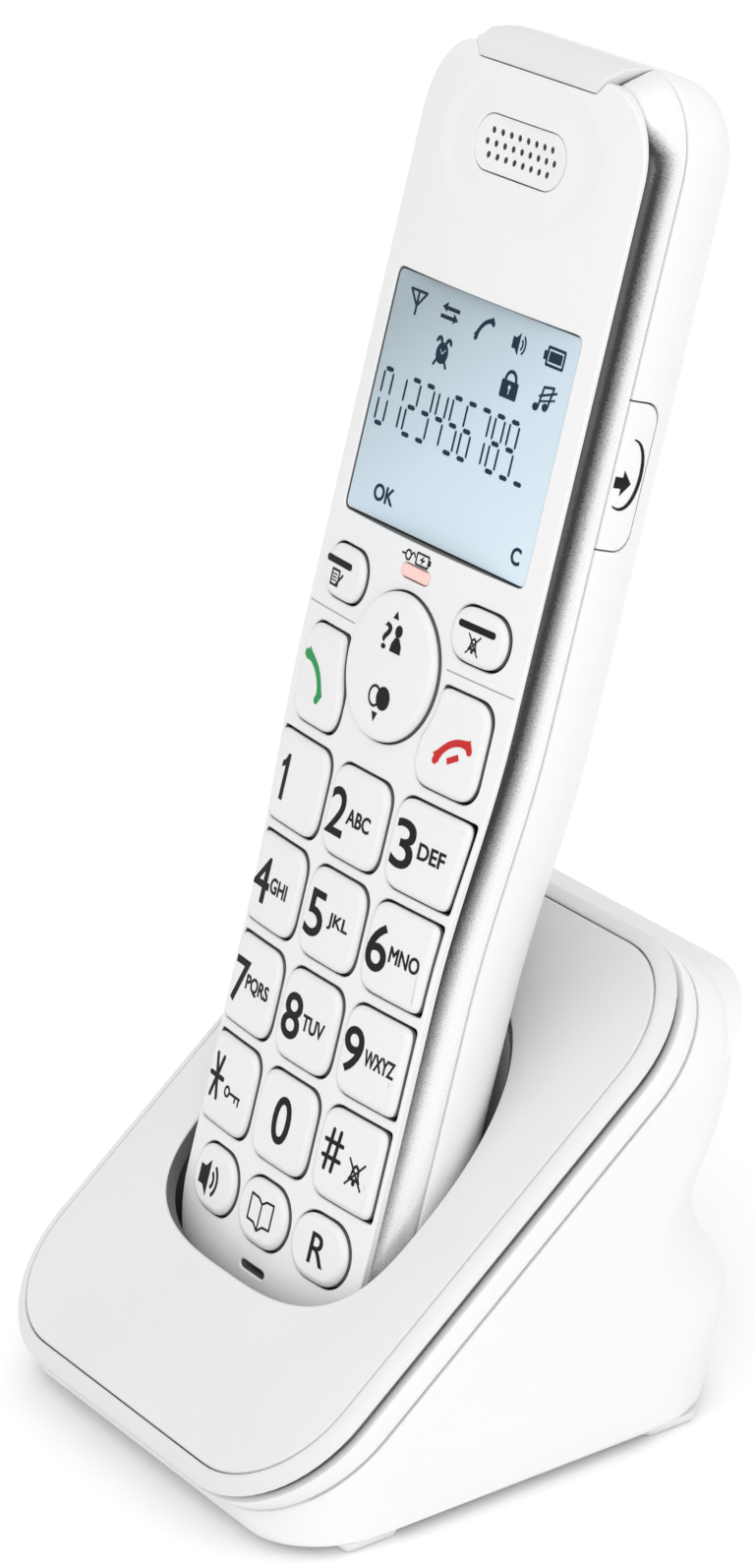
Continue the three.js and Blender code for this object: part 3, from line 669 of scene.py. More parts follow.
def ribbon(path, width):
    """A band of changing width along a path of close points."""
    path = np.asarray(path, float)
    along = np.gradient(path, axis=0)
    along /= np.linalg.norm(along, axis=1, keepdims=True)
    side = np.c_[-along[:, 1], along[:, 0]] * (np.broadcast_to(width, len(path)) / 2)[:, None]
    return [(np.vstack([path - side, (path + side)[::-1]]), True)]


def solid(points):
    return [(np.array(points, float), True)]


def hole(parts):
    return [(loop, False) for loop, _ in parts]


def disc(x, z, rx, rz=None, sides=32):
    return [(oval(x, z, rx, rz or rx, sides), True)]


INK_LIFT = 0.045


def ink(name, parts, height, material, body, lay=FRONT, place=None, lift=INK_LIFT):
    """Prints shapes on a surface. Parts are painted in order: True adds ink and False removes it."""
    verts, faces, _ = triangulate([loop for loop, _ in parts])
    centres = verts[faces].mean(1)
    keep = np.zeros(len(faces), bool)
    for loop, adds in parts:
        keep[inside(centres, loop)] = adds
    faces = faces[keep]
    used = np.unique(faces)
    renumber = np.full(len(verts), -1)
    renumber[used] = np.arange(len(used))
    flat, faces = verts[used], renumber[faces]
    top, low = height(flat) + lift, height(flat) - 0.04
    edges = {(f[i], f[(i + 1) % 3]) for f in faces.tolist() for i in range(3)}
    walls = [(b, a, a + len(flat), b + len(flat)) for a, b in edges if (b, a) not in edges]
    polygons = faces.tolist() + sorted(walls)
    obj = new_mesh(name, np.vstack([lay(flat, top), lay(flat, low)]), polygons,
                   HANDSET if place is None else place, material, sharp=30)
    return finish_piece(obj, body)


def glyph_loops(text):
    """Outlines of a word in Blender's own font, as loops in font units."""
    curve = bpy.data.curves.new("word", "FONT")
    curve.body, curve.resolution_u, curve.fill_mode = text, 5, "NONE"
    letters = bpy.data.objects.new("word", curve)
    bpy.context.scene.collection.objects.link(letters)
    mesh = bpy.data.meshes.new_from_object(letters.evaluated_get(bpy.context.evaluated_depsgraph_get()))
    points = np.array([v.co[:2] for v in mesh.vertices])
    beside = {}
    for edge in mesh.edges:
        a, b = edge.vertices
        beside.setdefault(a, []).append(b)
        beside.setdefault(b, []).append(a)
    bpy.data.objects.remove(letters)
    bpy.data.curves.remove(curve)
    bpy.data.meshes.remove(mesh)
    loops, seen = [], set()
    for start in beside:
        if start in seen:
            continue
        chain = [start]
        seen.add(start)
        while True:
            onward = [v for v in beside[chain[-1]] if v not in seen]
            if not onward:
                break
            chain.append(onward[0])
            seen.add(onward[0])
        loops.append(points[chain])
    return loops


def word(text, box, weight):
    """A word fitted to a box (x0, x1, z0, z1), its strokes thickened by a weight on each side."""
    loops = glyph_loops(text)
    stacked = np.vstack(loops)
    low, high = stacked.min(0), stacked.max(0)
    corner = np.array([box[0], box[2]]) + weight
    size = np.array([box[1], box[3]]) - weight - corner
    fitted = [(loop - low) / (high - low) * size + corner for loop in loops]
    areas = [(np.roll(p[:, 1], -1) * p[:, 0] - np.roll(p[:, 0], -1) * p[:, 1]).sum() for p in fitted]
    outer = np.sign(max(areas, key=abs))
    parts = []
    for loop, area in zip(fitted, areas):
        loop = loop if outer > 0 else loop[::-1]
        into, stretch = left_normals(loop)
        parts.append((loop - into * stretch * weight, area * outer > 0))
    return sorted(parts, key=lambda part: not part[1])


# ---------------------------------------------------------------- handset, front
def crown(points):
    x, z = points[:, 0], points[:, 1]
    reach = np.sqrt((x / 18.5) ** 2 + ((z - EAR_Z) / 10.5) ** 2)
    dish = np.clip((1 - reach) / 0.22, 0, 1)
    return CROWN_RISE - CROWN_FALL * (x / DISPLAY_HALF) ** 2 - 0.4 * dish * dish * (3 - 2 * dish)


def plain_crown(points):
    return CROWN_RISE - CROWN_FALL * (points[:, 0] / DISPLAY_HALF) ** 2


def key_top(points):
    return plain_crown(points) + KEY_STAND


def nav_top(points):
    dome = ((points[:, 0] / NAV_RX) ** 2 + ((points[:, 1] - NAV_Z) / NAV_RZ) ** 2)
    return plain_crown(points) + NAV_STAND + 0.25 * (1 - dome)


def flat_at(h):
    return lambda points: np.full(len(points), float(h))


def key_outlines(grow):
    nav = oval(0, NAV_Z, NAV_RX + 1.5 - grow, NAV_RZ + 1.5 - grow, 120)
    boxes = {}
    names = (("key_1", "key_2", "key_3"), ("key_4", "key_5", "key_6"),
             ("key_7", "key_8", "key_9"), ("key_star", "key_0", "key_hash"))
    for row, z in zip(names, DIAL_ROWS):
        low, high = z - DIAL_HEIGHT / 2 - grow, z + DIAL_HEIGHT / 2 + grow
        radius = 2.4 + grow
        boxes[row[0]] = ([rounded_box(-34, -DIAL_INNER + grow, low, high, radius)], [])
        boxes[row[1]] = ([rounded_box(-DIAL_MIDDLE - grow, DIAL_MIDDLE + grow, low, high, radius)], [])
        boxes[row[2]] = ([rounded_box(DIAL_INNER - grow, 34, low, high, radius)], [])
    for i, name in enumerate(("key_speaker", "key_phonebook", "key_recall")):
        boxes[name] = ([pill(5.9, 8.3, 14.8, grow, x=(i - 1) * 13.1)], [])
    beside = (("softkey_left", -21.4, -10.4, 91, 97.8, 3.2), ("softkey_right", 10.4, 21.4, 91, 97.8, 3.2),
              ("talk_key", -21.7, -9.3, 74.6, 87.2, 2.6), ("end_key", 9.3, 21.7, 74.6, 87.2, 2.6))
    for name, x0, x1, z0, z1, radius in beside:
        box = rounded_box(x0 - grow, x1 + grow, z0 - grow, z1 + grow, radius + grow)
        boxes[name] = ([box], [nav])
    return boxes


def lens_outline(grow):
    return np.array([(-13.2 - grow, 161.3 - grow), (13.2 + grow, 161.3 - grow), (14.6 + grow, 163 - grow),
                     (16.4 + grow, HEIGHT + 8), (-16.4 - grow, HEIGHT + 8), (-14.6 - grow, 163 - grow)])


def lens_cutter(grow):
    return skin("lens_cutter", [at_depth(lens_outline(grow), y) for y in (9.0, -6.0)], HANDSET, "lens")


def build_front_plate():
    cuts = []
    for within, without in key_outlines(GAP).values():
        cuts += region([*within, outline(-RIM)], without)
    cuts.append(oval(0, NAV_Z, NAV_RX + GAP, NAV_RZ + GAP, 120))
    x0, x1, z0, z1 = DISPLAY
    cuts.append(rounded_box(x0 - GAP, x1 + GAP, z0 - GAP, z1 + GAP, 1.0))
    cuts.append(pill(EAR_HALF, EAR_HEIGHT, EAR_Z, FINE_GAP))
    cuts.append(pill(3.3, 1.7, 98.3, FINE_GAP))
    cuts.append(pill(3.1, 1.1, 7.4))
    cuts.append(lens_outline(FINE_GAP))
    loops = sorted(region([outline(0)], cuts), key=lambda loop: -np.ptp(loop[:, 1]))
    loops = [even(loop, 0.4, 2 if i == 0 or len(loop) < 60 else 10) for i, loop in enumerate(loops)]
    plate = relief("front_plate_face", loops, crown, -1.1, HANDSET, "pearl",
                   edge=round_edge(0.26, 0.24), painted_shade_walls=1)
    finish_piece(plate, "handset", ["front_plate"])


def build_keys():
    rim = outline(-RIM - GAP)
    for name, (within, without) in key_outlines(0).items():
        loop = region([*within, rim], without)[0]
        cap = relief(f"{name}_cap", [even(loop, 0.4, 12)], key_top, KEY_BASE, HANDSET, "key",
                     edge=round_edge(0.95, 0.62, 6), grid=1.2, painted_shade_walls=0)
        finish_piece(cap, name, [name])
    nav = relief("nav_key_cap", [oval(0, NAV_Z, NAV_RX, NAV_RZ, 160)], nav_top, KEY_BASE, HANDSET, "key",
                 edge=round_edge(0.8, 0.75, 7), grid=1.2, painted_shade_walls=0)
    finish_piece(nav, "nav_key", ["nav_key"])


def build_display():
    x0, x1, z0, z1 = DISPLAY
    glass = relief("lcd_window_pane", [even(rounded_box(x0, x1, z0, z1, 0.8), 0.5, 0)], flat_at(GLASS), -1.0,
                   HANDSET, "lcd_glass", edge=round_edge(0.12))
    finish_piece(glass, "handset", ["lcd_window"])
    led = relief("charge_led_dome", [pill(3.3, 1.7, 98.3)], lambda p: plain_crown(p) + 0.12, -0.9,
                 HANDSET, "led", edge=round_edge(0.5, 0.35), grid=0.6)
    finish_piece(led, "handset", ["charge_led_lens"])


def build_earpiece():
    loops = [pill(EAR_HALF, EAR_HEIGHT, EAR_Z)]
    for count, dz in ((8, 1.55), (9, 0), (8, -1.55)):
        for i in range(count):
            loops.append(oval((i - (count - 1) / 2) * 1.9, EAR_Z + dz, 0.42, 0.42, 16)[::-1])
    level = lambda p: 0.55 - 0.35 * np.clip(1 - (p[:, 0] / 10) ** 2 - ((p[:, 1] - EAR_Z) / 3.4) ** 2, 0, 1)
    insert = relief("earpiece_grille", loops, level, -0.9, HANDSET, "pearl",
                    edge=round_edge(0.1, 0.1, 3), grid=0.9, painted_shade_walls=1)
    finish_piece(insert, "handset", ["earpiece_insert"])


def build_lens():
    steps = ((-0.9, (0.1, 0.1, 0.3)), (0.4, (0.35, 0.35, 1.1)), (1.4, (0.6, 0.6, 1.9)),
             (3.4, (1.0, 1.0, 2.35)), (5.35, (1.4, 1.4, 2.6)))
    rings = [at_depth(outline(*grow), y) for y, grow in steps]
    body = skin("ringer_lens", [r[::-1] for r in rings], HANDSET, "lens")
    cutter = lens_cutter(0)
    x = np.linspace(-30, 30, 61)
    face = -(CROWN_RISE - CROWN_FALL * (x / DISPLAY_HALF) ** 2)
    profile = np.r_[np.c_[x, face], [[30, 20], [-30, 20]]]
    crowned = skin("crown_cutter", [np.c_[profile[:, 0], profile[:, 1], np.full(len(profile), z)]
                                    for z in (150.0, 175.0)], HANDSET, "lens")
    carve(body, [cutter, crowned], "INTERSECT")
    modify(body, "BEVEL", width=0.25 * MM, segments=3, limit_method="ANGLE", angle_limit=math.radians(40))
    smooth_over(body)
    discard(cutter, crowned)
    finish_piece(body, "handset", ["ringer_light_lens"])


def build_side_band():
    """Silver band from the front lip to the seam, swept round the handset."""
    profile = ((0.02, 1.15, -0.6), (0.12, 1.25, 0.0), (0.45, 1.7, 0.35), (0.8, 2.5, 0.9), (1.1, 3.4, 1.5),
               (1.3, 4.3, 2.1), (1.4, 5.0, 2.5), (1.36, 5.28, 2.55), (1.15, 5.38, 2.4), (-1.6, 5.38, -1.6),
               (-1.9, 1.3, -1.9), (-0.3, 1.15, -0.9))
    sections = [at_depth(outline(g, g, rise)[::-1], y) for g, y, rise in profile]
    ring = outline(0)[::-1]
    # Painted reflection for the band's colour: 0 at the front edge to 1 at the seam, lifted where the outline
    # faces up at the top end and towards the foot, and lowered a little above the middle.
    painted_reflection_lift = np.clip((left_normals(ring)[0][:, 1] - 0.3) / 0.5, 0, 1) * (ring[:, 1] > 80)
    painted_reflection_lift += 0.5 * np.clip((85 - ring[:, 1]) / 70, 0, 1) - 0.14 * np.clip((ring[:, 1] - 85) / 40, 0, 1)
    painted_band_reflection = np.concatenate([np.clip((y - 1.15) / 4.1, 0, 1) + 0.8 * painted_reflection_lift for _, y, _ in profile])
    band = hoop("side_band", sections, HANDSET, "silver", sharp=50, attribute=painted_band_reflection)
    cutter = lens_cutter(FINE_GAP)
    carve(band, [cutter])
    discard(cutter)
    smooth_over(band)
    finish_piece(band, "handset", ["side_trim_band"])


# ---------------------------------------------------------------- handset, back
def shell_rings(inset):
    side, rise = BAND_GROW - inset, BAND_RISE - inset
    front = SHELL_FRONT if inset == 0 else SHELL_FRONT - 0.02
    rings = []
    if inset == 0:
        rings.append((side - 0.3, side - 0.3, rise - 0.3, front))
        rings.append((side - 0.08, side - 0.08, rise - 0.08, front + 0.1))
        rings.append((side, side, rise, front + 0.35))
    else:
        rings.append((side, side, rise, front))
    for degrees in np.linspace(0, 90, 19):
        angle = math.radians(degrees)
        away = 1 - math.cos(angle)
        end = SHELL_END_ROUND * away
        y = SHELL_BEND + (SHELL_BACK - SHELL_BEND - inset) * math.sin(angle)
        rings.append((side - (SHELL_SIDE_ROUND - inset) * away, side - end, rise - end, y))
    return [at_depth(outline(*grow), y) for *grow, y in rings]


def prism(name, loop, y0, y1, place=HANDSET):
    return skin(name, [at_depth(loop, y) for y in (y1, y0)], place, "white")


def block(name, x, y, z, place=HANDSET):
    loop = np.array([(x[0], z[0]), (x[1], z[0]), (x[1], z[1]), (x[0], z[1])])
    return prism(name, loop, y[0], y[1], place)


def build_rear_shell():
    outer, inner = shell_rings(0), shell_rings(SHELL_WALL)
    shell = skin("rear_shell_body", [r[::-1] for r in inner[::-1] + outer], HANDSET, "white", sharp=60)
    reference = duplicate(shell, "shell_reference")
    cover = duplicate(shell, "battery_cover_panel")
    key = duplicate(shell, "boost_key_cap")
    door = lambda g: prism("door", rounded_box(-15 - g, 15 + g, 55 - g, 113 + g, 3 + g), 8, 26)

    def side(grow):
        loop = rounded_box(1, 10.6 + grow, 108.9 - grow, 127.3 + grow, 2.6)
        return skin("side", [np.c_[np.full(len(loop), x), loop] for x in (14.0, 34.0)], HANDSET, "white")

    cutters = [door(FINE_GAP), side(FINE_GAP)]
    for i in range(4):
        cutters.append(prism(f"slot_{i}", pill(7, 1.4, 128.7 + 3 * i), 10, 26))
    for x in (-14, 14):
        cutters.append(prism(f"well_{x}", oval(x, 150, 2.6, 2.6, 40), 14, 26))
    for x in (-7, 7):
        cutters.append(block(f"pad_{x}", (x - 1.95, x + 1.95), (8.35, 12.45), (-4, 2.6)))
    door_part, side_part = door(-FINE_GAP), side(-FINE_GAP)
    carve(shell, cutters)
    carve(cover, [door_part], "INTERSECT")
    carve(key, [side_part], "INTERSECT")
    for piece in (shell, cover, key):
        reshade(piece, reference)
    discard(reference, door_part, side_part, *cutters)
    finish_piece(shell, "handset", ["rear_shell"])
    finish_piece(cover, "battery_cover", ["battery_cover"])
    finish_piece(key, "boost_key", ["boost_key"])


def build_handset_hardware():
    for side, x in (("left", -14), ("right", 14)):
        profile = [(0, -5), (1.1, -5), (1.1, 0), (2.1, 0), (2.2, 0.2), (2.0, 0.9), (1.2, 1.25), (0, 1.3)]
        head = lathe(f"handset_screw_{side}_head", profile, (x, 15.6, 150), (0, 1, 0), HANDSET, "steel")
        cross = [block("a", (x - 1.1, x + 1.1), (16.3, 18), (149.75, 150.25)),
                 block("b", (x - 0.25, x + 0.25), (16.3, 18), (148.9, 151.1))]
        carve(head, cross)
        discard(*cross)
        head.data.set_sharp_from_angle(angle=math.radians(35))
        finish_piece(head, "handset", [f"handset_screw_{side}"])
    for side, x in (("left", -7), ("right", 7)):
        loop = rounded_box(x - 1.8, x + 1.8, -12.3, -8.5, 0.5)
        pad = relief(f"charge_pad_{side}_plate", [loop], flat_at(-0.1), -2.1, HANDSET, "brass", lay=BELOW,
                     edge=round_edge(0.25))
        finish_piece(pad, "handset", [f"charge_pad_{side}"])
    for side, x in (("left", -5.6), ("right", 5.6)):
        start, flip = (62.0, 1) if side == "left" else (106.5, -1)
        profile = [(0, 0), (4.6, 0), (5.0, 0.3), (5.1, 0.8), (5.1, 42.6), (4.9, 43.1), (4.2, 43.3),
                   (1.9, 43.3), (1.9, 44.3), (1.6, 44.5), (0, 44.5)]
        cell = lathe(f"battery_cell_{side}_can", profile, (x, 12, start), (0, 0, flip), HANDSET, "cell_wrap",
                     sides=48)
        finish_piece(cell, "handset", [f"battery_cell_{side}"])


# ---------------------------------------------------------------- cradle
def slope_outline(grow, toe=None, steps=16):
    toe = grow if toe is None else toe
    return rounded_box(-PANEL_HALF - grow, PANEL_HALF + grow, PANEL_FRONT - toe, PANEL_REAR + grow,
                       PANEL_CORNER + grow, steps)


def long_outline(loop, pieces=10):
    """Adds points along the straight sides, which rounded_box leaves bare."""
    out = []
    for a, b in zip(loop, np.roll(loop, -1, axis=0)):
        n = pieces if np.linalg.norm(b - a) > 8 else 1
        out += [a + (b - a) * i / n for i in range(n)]
    return np.array(out)


def cup_section(grow, sides=160):
    points = []
    for i in range(sides):
        angle = 2 * math.pi * i / sides
        c, s = math.cos(angle), math.sin(angle)
        n = 3 if s > 0 else 2.3
        depth = (CUP_FRONT if s > 0 else CUP_REAR) + grow
        power = lambda v: math.copysign(abs(v) ** (2 / n), v)
        points.append(((CUP_HALF + grow) * power(c), -(CUP_MIDDLE + depth * power(s))))
    return np.array(points[::-1])


def cup_on_slope(grow, h):
    """Where the cup's wall, which runs along the handset, meets a level over the panel: two views of it, on
    the panel and in the handset's frame.
    """
    section = cup_section(grow)
    to_panel = PANEL.inverted() @ HANDSET
    axis = to_panel.to_3x3() @ Vector((0, 0, 1))
    flat, lifted = [], []
    for x, y in section:
        p = to_panel @ Vector((x, y, 0))
        s = (h - p.z) / axis.z
        q = p + axis * s
        flat.append((q.x, q.y))
        lifted.append((x, y, s))
    return np.array(flat), np.array(lifted)


def panel_height(points):
    """The top panel: flat in the middle, falling a little towards its edge."""
    x = np.abs(points[:, 0]) / PANEL_HALF
    middle, half = (PANEL_FRONT + PANEL_REAR) / 2, (PANEL_REAR - PANEL_FRONT) / 2
    t = np.abs(points[:, 1] - middle) / half
    r = np.clip((x ** 8 + t ** 8) ** 0.125, 0, 1)
    edge = np.clip((r - 0.72) / 0.28, 0, 1)
    return -0.5 * edge ** 2


def build_top():
    opening, _ = cup_on_slope(0, 0)
    if (np.roll(opening[:, 1], -1) * opening[:, 0] - np.roll(opening[:, 0], -1) * opening[:, 1]).sum() > 0:
        opening = opening[::-1]
    loops = [even(long_outline(slope_outline(-0.15)), 0.6), even(opening, 0.6)]
    panel = relief("top_panel_skin", loops, panel_height, -2.2, PANEL, "satin", lay=ABOVE,
                   edge=round_edge(0.35, 0.3), grid=2.0, painted_shade_walls=1)
    finish_piece(panel, "base", ["top_panel"])

    def swept(name, profile, material, node):
        sections = [np.c_[o, np.full(len(o), h)] for grow, toe, h in profile
                    for o in [long_outline(slope_outline(grow, toe))[::-1]]]
        finish_piece(hoop(name, sections, PANEL, material, sharp=40), "base", [node])

    def rounded(points):
        return [(g, g, h) for g, h in points]

    lip = [(0.02, -2.2), (0.02, -0.75), (0.1, -0.6), (0.3, -0.52), (0.6, -0.56), (1.1, -0.8),
           (1.6, -1.18), (2.0, -1.62), (2.22, -1.95), (2.28, -2.1), (2.2, -2.2)]
    swept("top_rim_lip", rounded(lip), "lip", "top_rim")
    line = [(0.2, -3.1), (0.2, -2.45), (1.5, -2.45), (1.7, -2.6), (1.8, -2.8), (1.7, -3.0), (1.5, -3.1)]
    swept("chrome_line", rounded(line), "chrome", "chrome_trim")
    band = [(-0.4, -0.4, -6.4), (-0.4, -0.4, -3.4), (2.2, 2.2, -3.4), (2.42, 2.4, -3.5), (2.5, 2.45, -3.7),
            (2.5, 2.2, -4.6), (2.5, 1.9, -5.6), (2.46, 1.65, -6.1), (2.36, 1.5, -6.33), (2.2, 1.3, -6.4)]
    swept("top_band_wall", band, "white", "top_band")


def smooth_profile(points, count):
    """A smooth curve through (value, position) points, sampled evenly in position."""
    values, marks = np.array([p[0] for p in points], float), np.array([p[1] for p in points], float)
    slopes = np.gradient(values, marks)
    at = np.linspace(marks[0], marks[-1], count)
    k = np.clip(np.searchsorted(marks, at) - 1, 0, len(marks) - 2)
    h = marks[k + 1] - marks[k]
    t = (at - marks[k]) / h
    return at, ((2 * t ** 3 - 3 * t ** 2 + 1) * values[k] + (t ** 3 - 2 * t ** 2 + t) * h * slopes[k]
                + (-2 * t ** 3 + 3 * t ** 2) * values[k + 1] + (t ** 3 - t ** 2) * h * slopes[k + 1])


def body_rings(inset, floor, depth, count=48):
    low = rounded_box(-BODY_HALF + inset, BODY_HALF - inset, BODY_FRONT + inset, BODY_REAR - inset,
                      BODY_CORNER - inset, 16)
    high = slope_outline(2.5 - inset, 1.6 - inset, 16)
    arc = len(low) // 4
    rise, run = math.sin(SLOPE), math.cos(SLOPE)
    top = np.c_[high[:, 0], high[:, 1] * run + depth * rise, PANEL_RISE + high[:, 1] * rise - depth * run]
    crest = top[2 * arc]
    heights, backs = smooth_profile([*REAR, (crest[1] + inset, crest[2])], count)
    shares = (heights - BASE_FLOOR) / (crest[2] - BASE_FLOOR)
    behind = np.zeros(len(low), bool)
    behind[arc:3 * arc] = True
    rings = []
    for r, (share, back) in enumerate(zip(shares, backs)):
        straight = BODY_REAR - inset + (crest[1] - BODY_REAR + inset) * share
        flat = low + (top[:, :2] - low) * share
        flat[behind, 1] += back - inset - straight
        z = np.full(len(low), floor) if r == 0 else BASE_FLOOR + (top[:, 2] - BASE_FLOOR) * share
        rings.append(np.c_[flat, z])
    return rings


def build_body():
    outer = body_rings(0, BASE_FLOOR, SEAM_DEPTH)
    inner = body_rings(BODY_WALL, BASE_FLOOR, SEAM_DEPTH)
    foot = outer[0].copy()
    centre = foot.mean(0)
    eased = foot + (centre - foot) * (0.3 / 38)
    eased[:, 2] = BASE_FLOOR
    foot[:, 2] = BASE_FLOOR + 0.3
    outer = [eased, foot] + outer[1:]
    housing = hoop("base_body", outer + inner[::-1], CRADLE, "white", sharp=50)
    reference = duplicate(housing, "body_reference")
    profile = [(0, -8), (4, -8), (4, 8), (0, 8)]
    hole_cutter = lathe("inlet_hole", profile, (0, 6, 9), (0, 1, 0), CRADLE, "white")
    carve(housing, [hole_cutter])
    reshade(housing, reference)
    discard(hole_cutter, reference)
    finish_piece(housing, "base", ["base_housing"])


def build_cup():
    _, rim = cup_on_slope(0, -0.55)
    _, lip = cup_on_slope(CUP_WALL, -2.4)
    rings = []
    for inset, z in ((8, CUP_FLOOR), (3.2, CUP_FLOOR), (2.2, CUP_FLOOR + 0.15), (1.2, CUP_FLOOR + 0.6),
                     (0.5, CUP_FLOOR + 1.3), (0.12, CUP_FLOOR + 2.3), (0, CUP_FLOOR + 3.4)):
        section = cup_section(-inset)
        rings.append(np.c_[section, np.full(len(section), z)])
    section = cup_section(0)
    for share in (0.3, 0.6, 0.85, 0.97):
        z = CUP_FLOOR + 3.4 + (rim[:, 2] - CUP_FLOOR - 3.4) * share
        rings.append(np.c_[section, z])
    rings.append(rim)
    under = cup_section(CUP_WALL)
    _, shelf = cup_on_slope(0.3, -2.4)
    rings += [shelf, lip]
    bottom = CUP_FLOOR - 1.8
    rings.append(np.c_[under, np.full(len(under), bottom)])
    rings = [r[::-1] for r in rings]
    cup = skin("cup_liner", rings, HANDSET, "cup", sharp=50)
    hole_profile = [(0, -4), (1.5, -4), (1.5, 4), (0, 4)]
    cutters = [lathe(f"hole_{x}", hole_profile, (x, 10.4, -1), (0, 0, 1), HANDSET, "white") for x in (-7, 7)]
    carve(cup, cutters)
    discard(*cutters)
    smooth_over(cup)
    finish_piece(cup, "base", ["cradle_cup"])
    for side, x in (("left", -7), ("right", 7)):
        pin = lathe(f"charge_pin_{side}_tip", [(0, -2.6), (1.2, -2.6), (1.2, 0.4), (1.05, 0.8), (0.7, 1.15),
                    (0.3, 1.3), (0, 1.32)], (x, 10.4, -1.6), (0, 0, 1), HANDSET, "brass", sides=28)
        finish_piece(pin, f"charge_pin_{side}", [f"charge_pin_{side}"])


def build_underside():
    edge = BODY_HALF - BODY_WALL - GAP
    front, rear = BODY_FRONT + BODY_WALL + GAP, BODY_REAR - BODY_WALL - GAP
    loops = [long_outline(rounded_box(-edge, edge, -rear, -front, BODY_CORNER - BODY_WALL))]
    for x in (-27, 27):
        loops.append(oval(x, 26, 2.6, 2.6, 36)[::-1])
    for i in range(5):
        for x in (-8, 8):
            loops.append(pill(6, 1.6, 14 + 4 * i, x=x)[::-1])
    plate = relief("bottom_cover", loops, flat_at(-BASE_FLOOR), -2.7, CRADLE, "white", lay=BELOW,
                   edge=round_edge(0.3), grid=4.0)
    finish_piece(plate, "base", ["bottom_plate"])
    for side, x in (("left", -27), ("right", 27)):
        profile = [(0, -6.3), (1.1, -6.3), (1.1, -1.1), (2.1, -1.1), (2.2, -0.9), (2.0, -0.3), (1.2, -0.05),
                   (0, 0)]
        head = lathe(f"base_screw_{side}_head", profile, (x, -26, 1.75), (0, 0, -1), CRADLE, "steel")
        cross = [block("a", (x - 1.1, x + 1.1), (-26.25, -25.75), (1.2, 2.6), CRADLE),
                 block("b", (x - 0.25, x + 0.25), (-27.1, -24.9), (1.2, 2.6), CRADLE)]
        carve(head, cross)
        discard(*cross)
        head.data.set_sharp_from_angle(angle=math.radians(35))
        finish_piece(head, "base", [f"base_screw_{side}"])
    for row, y in (("front", -49), ("rear", -5.2)):
        for side, x in (("left", -34.2), ("right", 34.2)):
            loop = rounded_box(x - 3.4, x + 3.4, -y - 4.2, -y + 4.2, 1.6)
            pad = relief(f"foot_{row}_{side}_pad", [loop], flat_at(0), -1.6, CRADLE, "pad", lay=BELOW,
                         edge=[(0, 1.4, 1.5), (0.15, 0.9, 1.2), (0.6, 0.25, 0.8), (0.85, 0.06, 0.4),
                               (1.1, 0, 0)])
            finish_piece(pad, "base", [f"foot_{row}_{side}"])
    profile = [(0, -4), (3.9, -4), (3.9, 3.4), (3.6, 3.7), (3.2, 3.6), (3.1, 3.3), (3.1, -3), (0.95, -3),
               (0.95, 2.2), (0.7, 2.6), (0, 2.65)]
    socket = lathe("power_socket", profile, (0, 1.2, 9), (0, 1, 0), CRADLE, "dark")
    finish_piece(socket, "base", ["power_inlet"])


# ---------------------------------------------------------------- legends
def handset_symbol(x, z, scale, tilt=0.0):
    """A telephone receiver seen from the side: a bow with a pad at each end."""
    path = bend((-1, -0.42), (-0.15, 0.62), (1, 0.36), 24)
    width = 0.30 + 0.26 * np.abs(np.linspace(-1, 1, 24)) ** 6
    parts = ribbon(path, width) + [(capsule((-1.02, -0.52), (-0.78, -0.2), 0.34), True),
                                   (capsule((1.03, 0.16), (0.93, 0.4), 0.34), True)]
    c, s = math.cos(tilt), math.sin(tilt)
    turn = np.array([[c, s], [-s, c]]) * scale
    return [(loop @ turn + (x, z), adds) for loop, adds in parts]


def bell_symbol(x, z, size):
    half = size / 2
    parts = solid([(x - half * 0.75, z - half * 0.55), (x + half * 0.75, z - half * 0.55),
                   (x + half * 0.5, z - half * 0.15), (x + half * 0.42, z + half * 0.5),
                   (x, z + half * 0.8), (x - half * 0.42, z + half * 0.5), (x - half * 0.5, z - half * 0.15)])
    parts += hole(solid([(x - half * 0.42, z - half * 0.33), (x + half * 0.42, z - half * 0.33),
                         (x + half * 0.27, z), (x + half * 0.22, z + half * 0.38), (x, z + half * 0.52),
                         (x - half * 0.22, z + half * 0.38), (x - half * 0.27, z)]))
    parts += disc(x, z - half * 0.7, half * 0.2, sides=16)
    for flip in (-1, 1):
        reach = half * 0.95 * flip
        parts += stroke([(x - reach, z - half), (x + reach, z + half)], size * 0.085)
    return parts


def speaker_symbol(x, z, size, waves=2):
    back, neck, cone = size * 0.5, size * 0.24, size * 0.46
    parts = solid([(x - back, z - neck), (x - neck, z - neck), (x, z - cone),
                   (x, z + cone), (x - neck, z + neck), (x - back, z + neck)])
    for i in range(waves):
        parts += arc_band(x + size * 0.02, z, size * (0.24 + 0.2 * i), size * 0.095, -55, 55)
    return parts


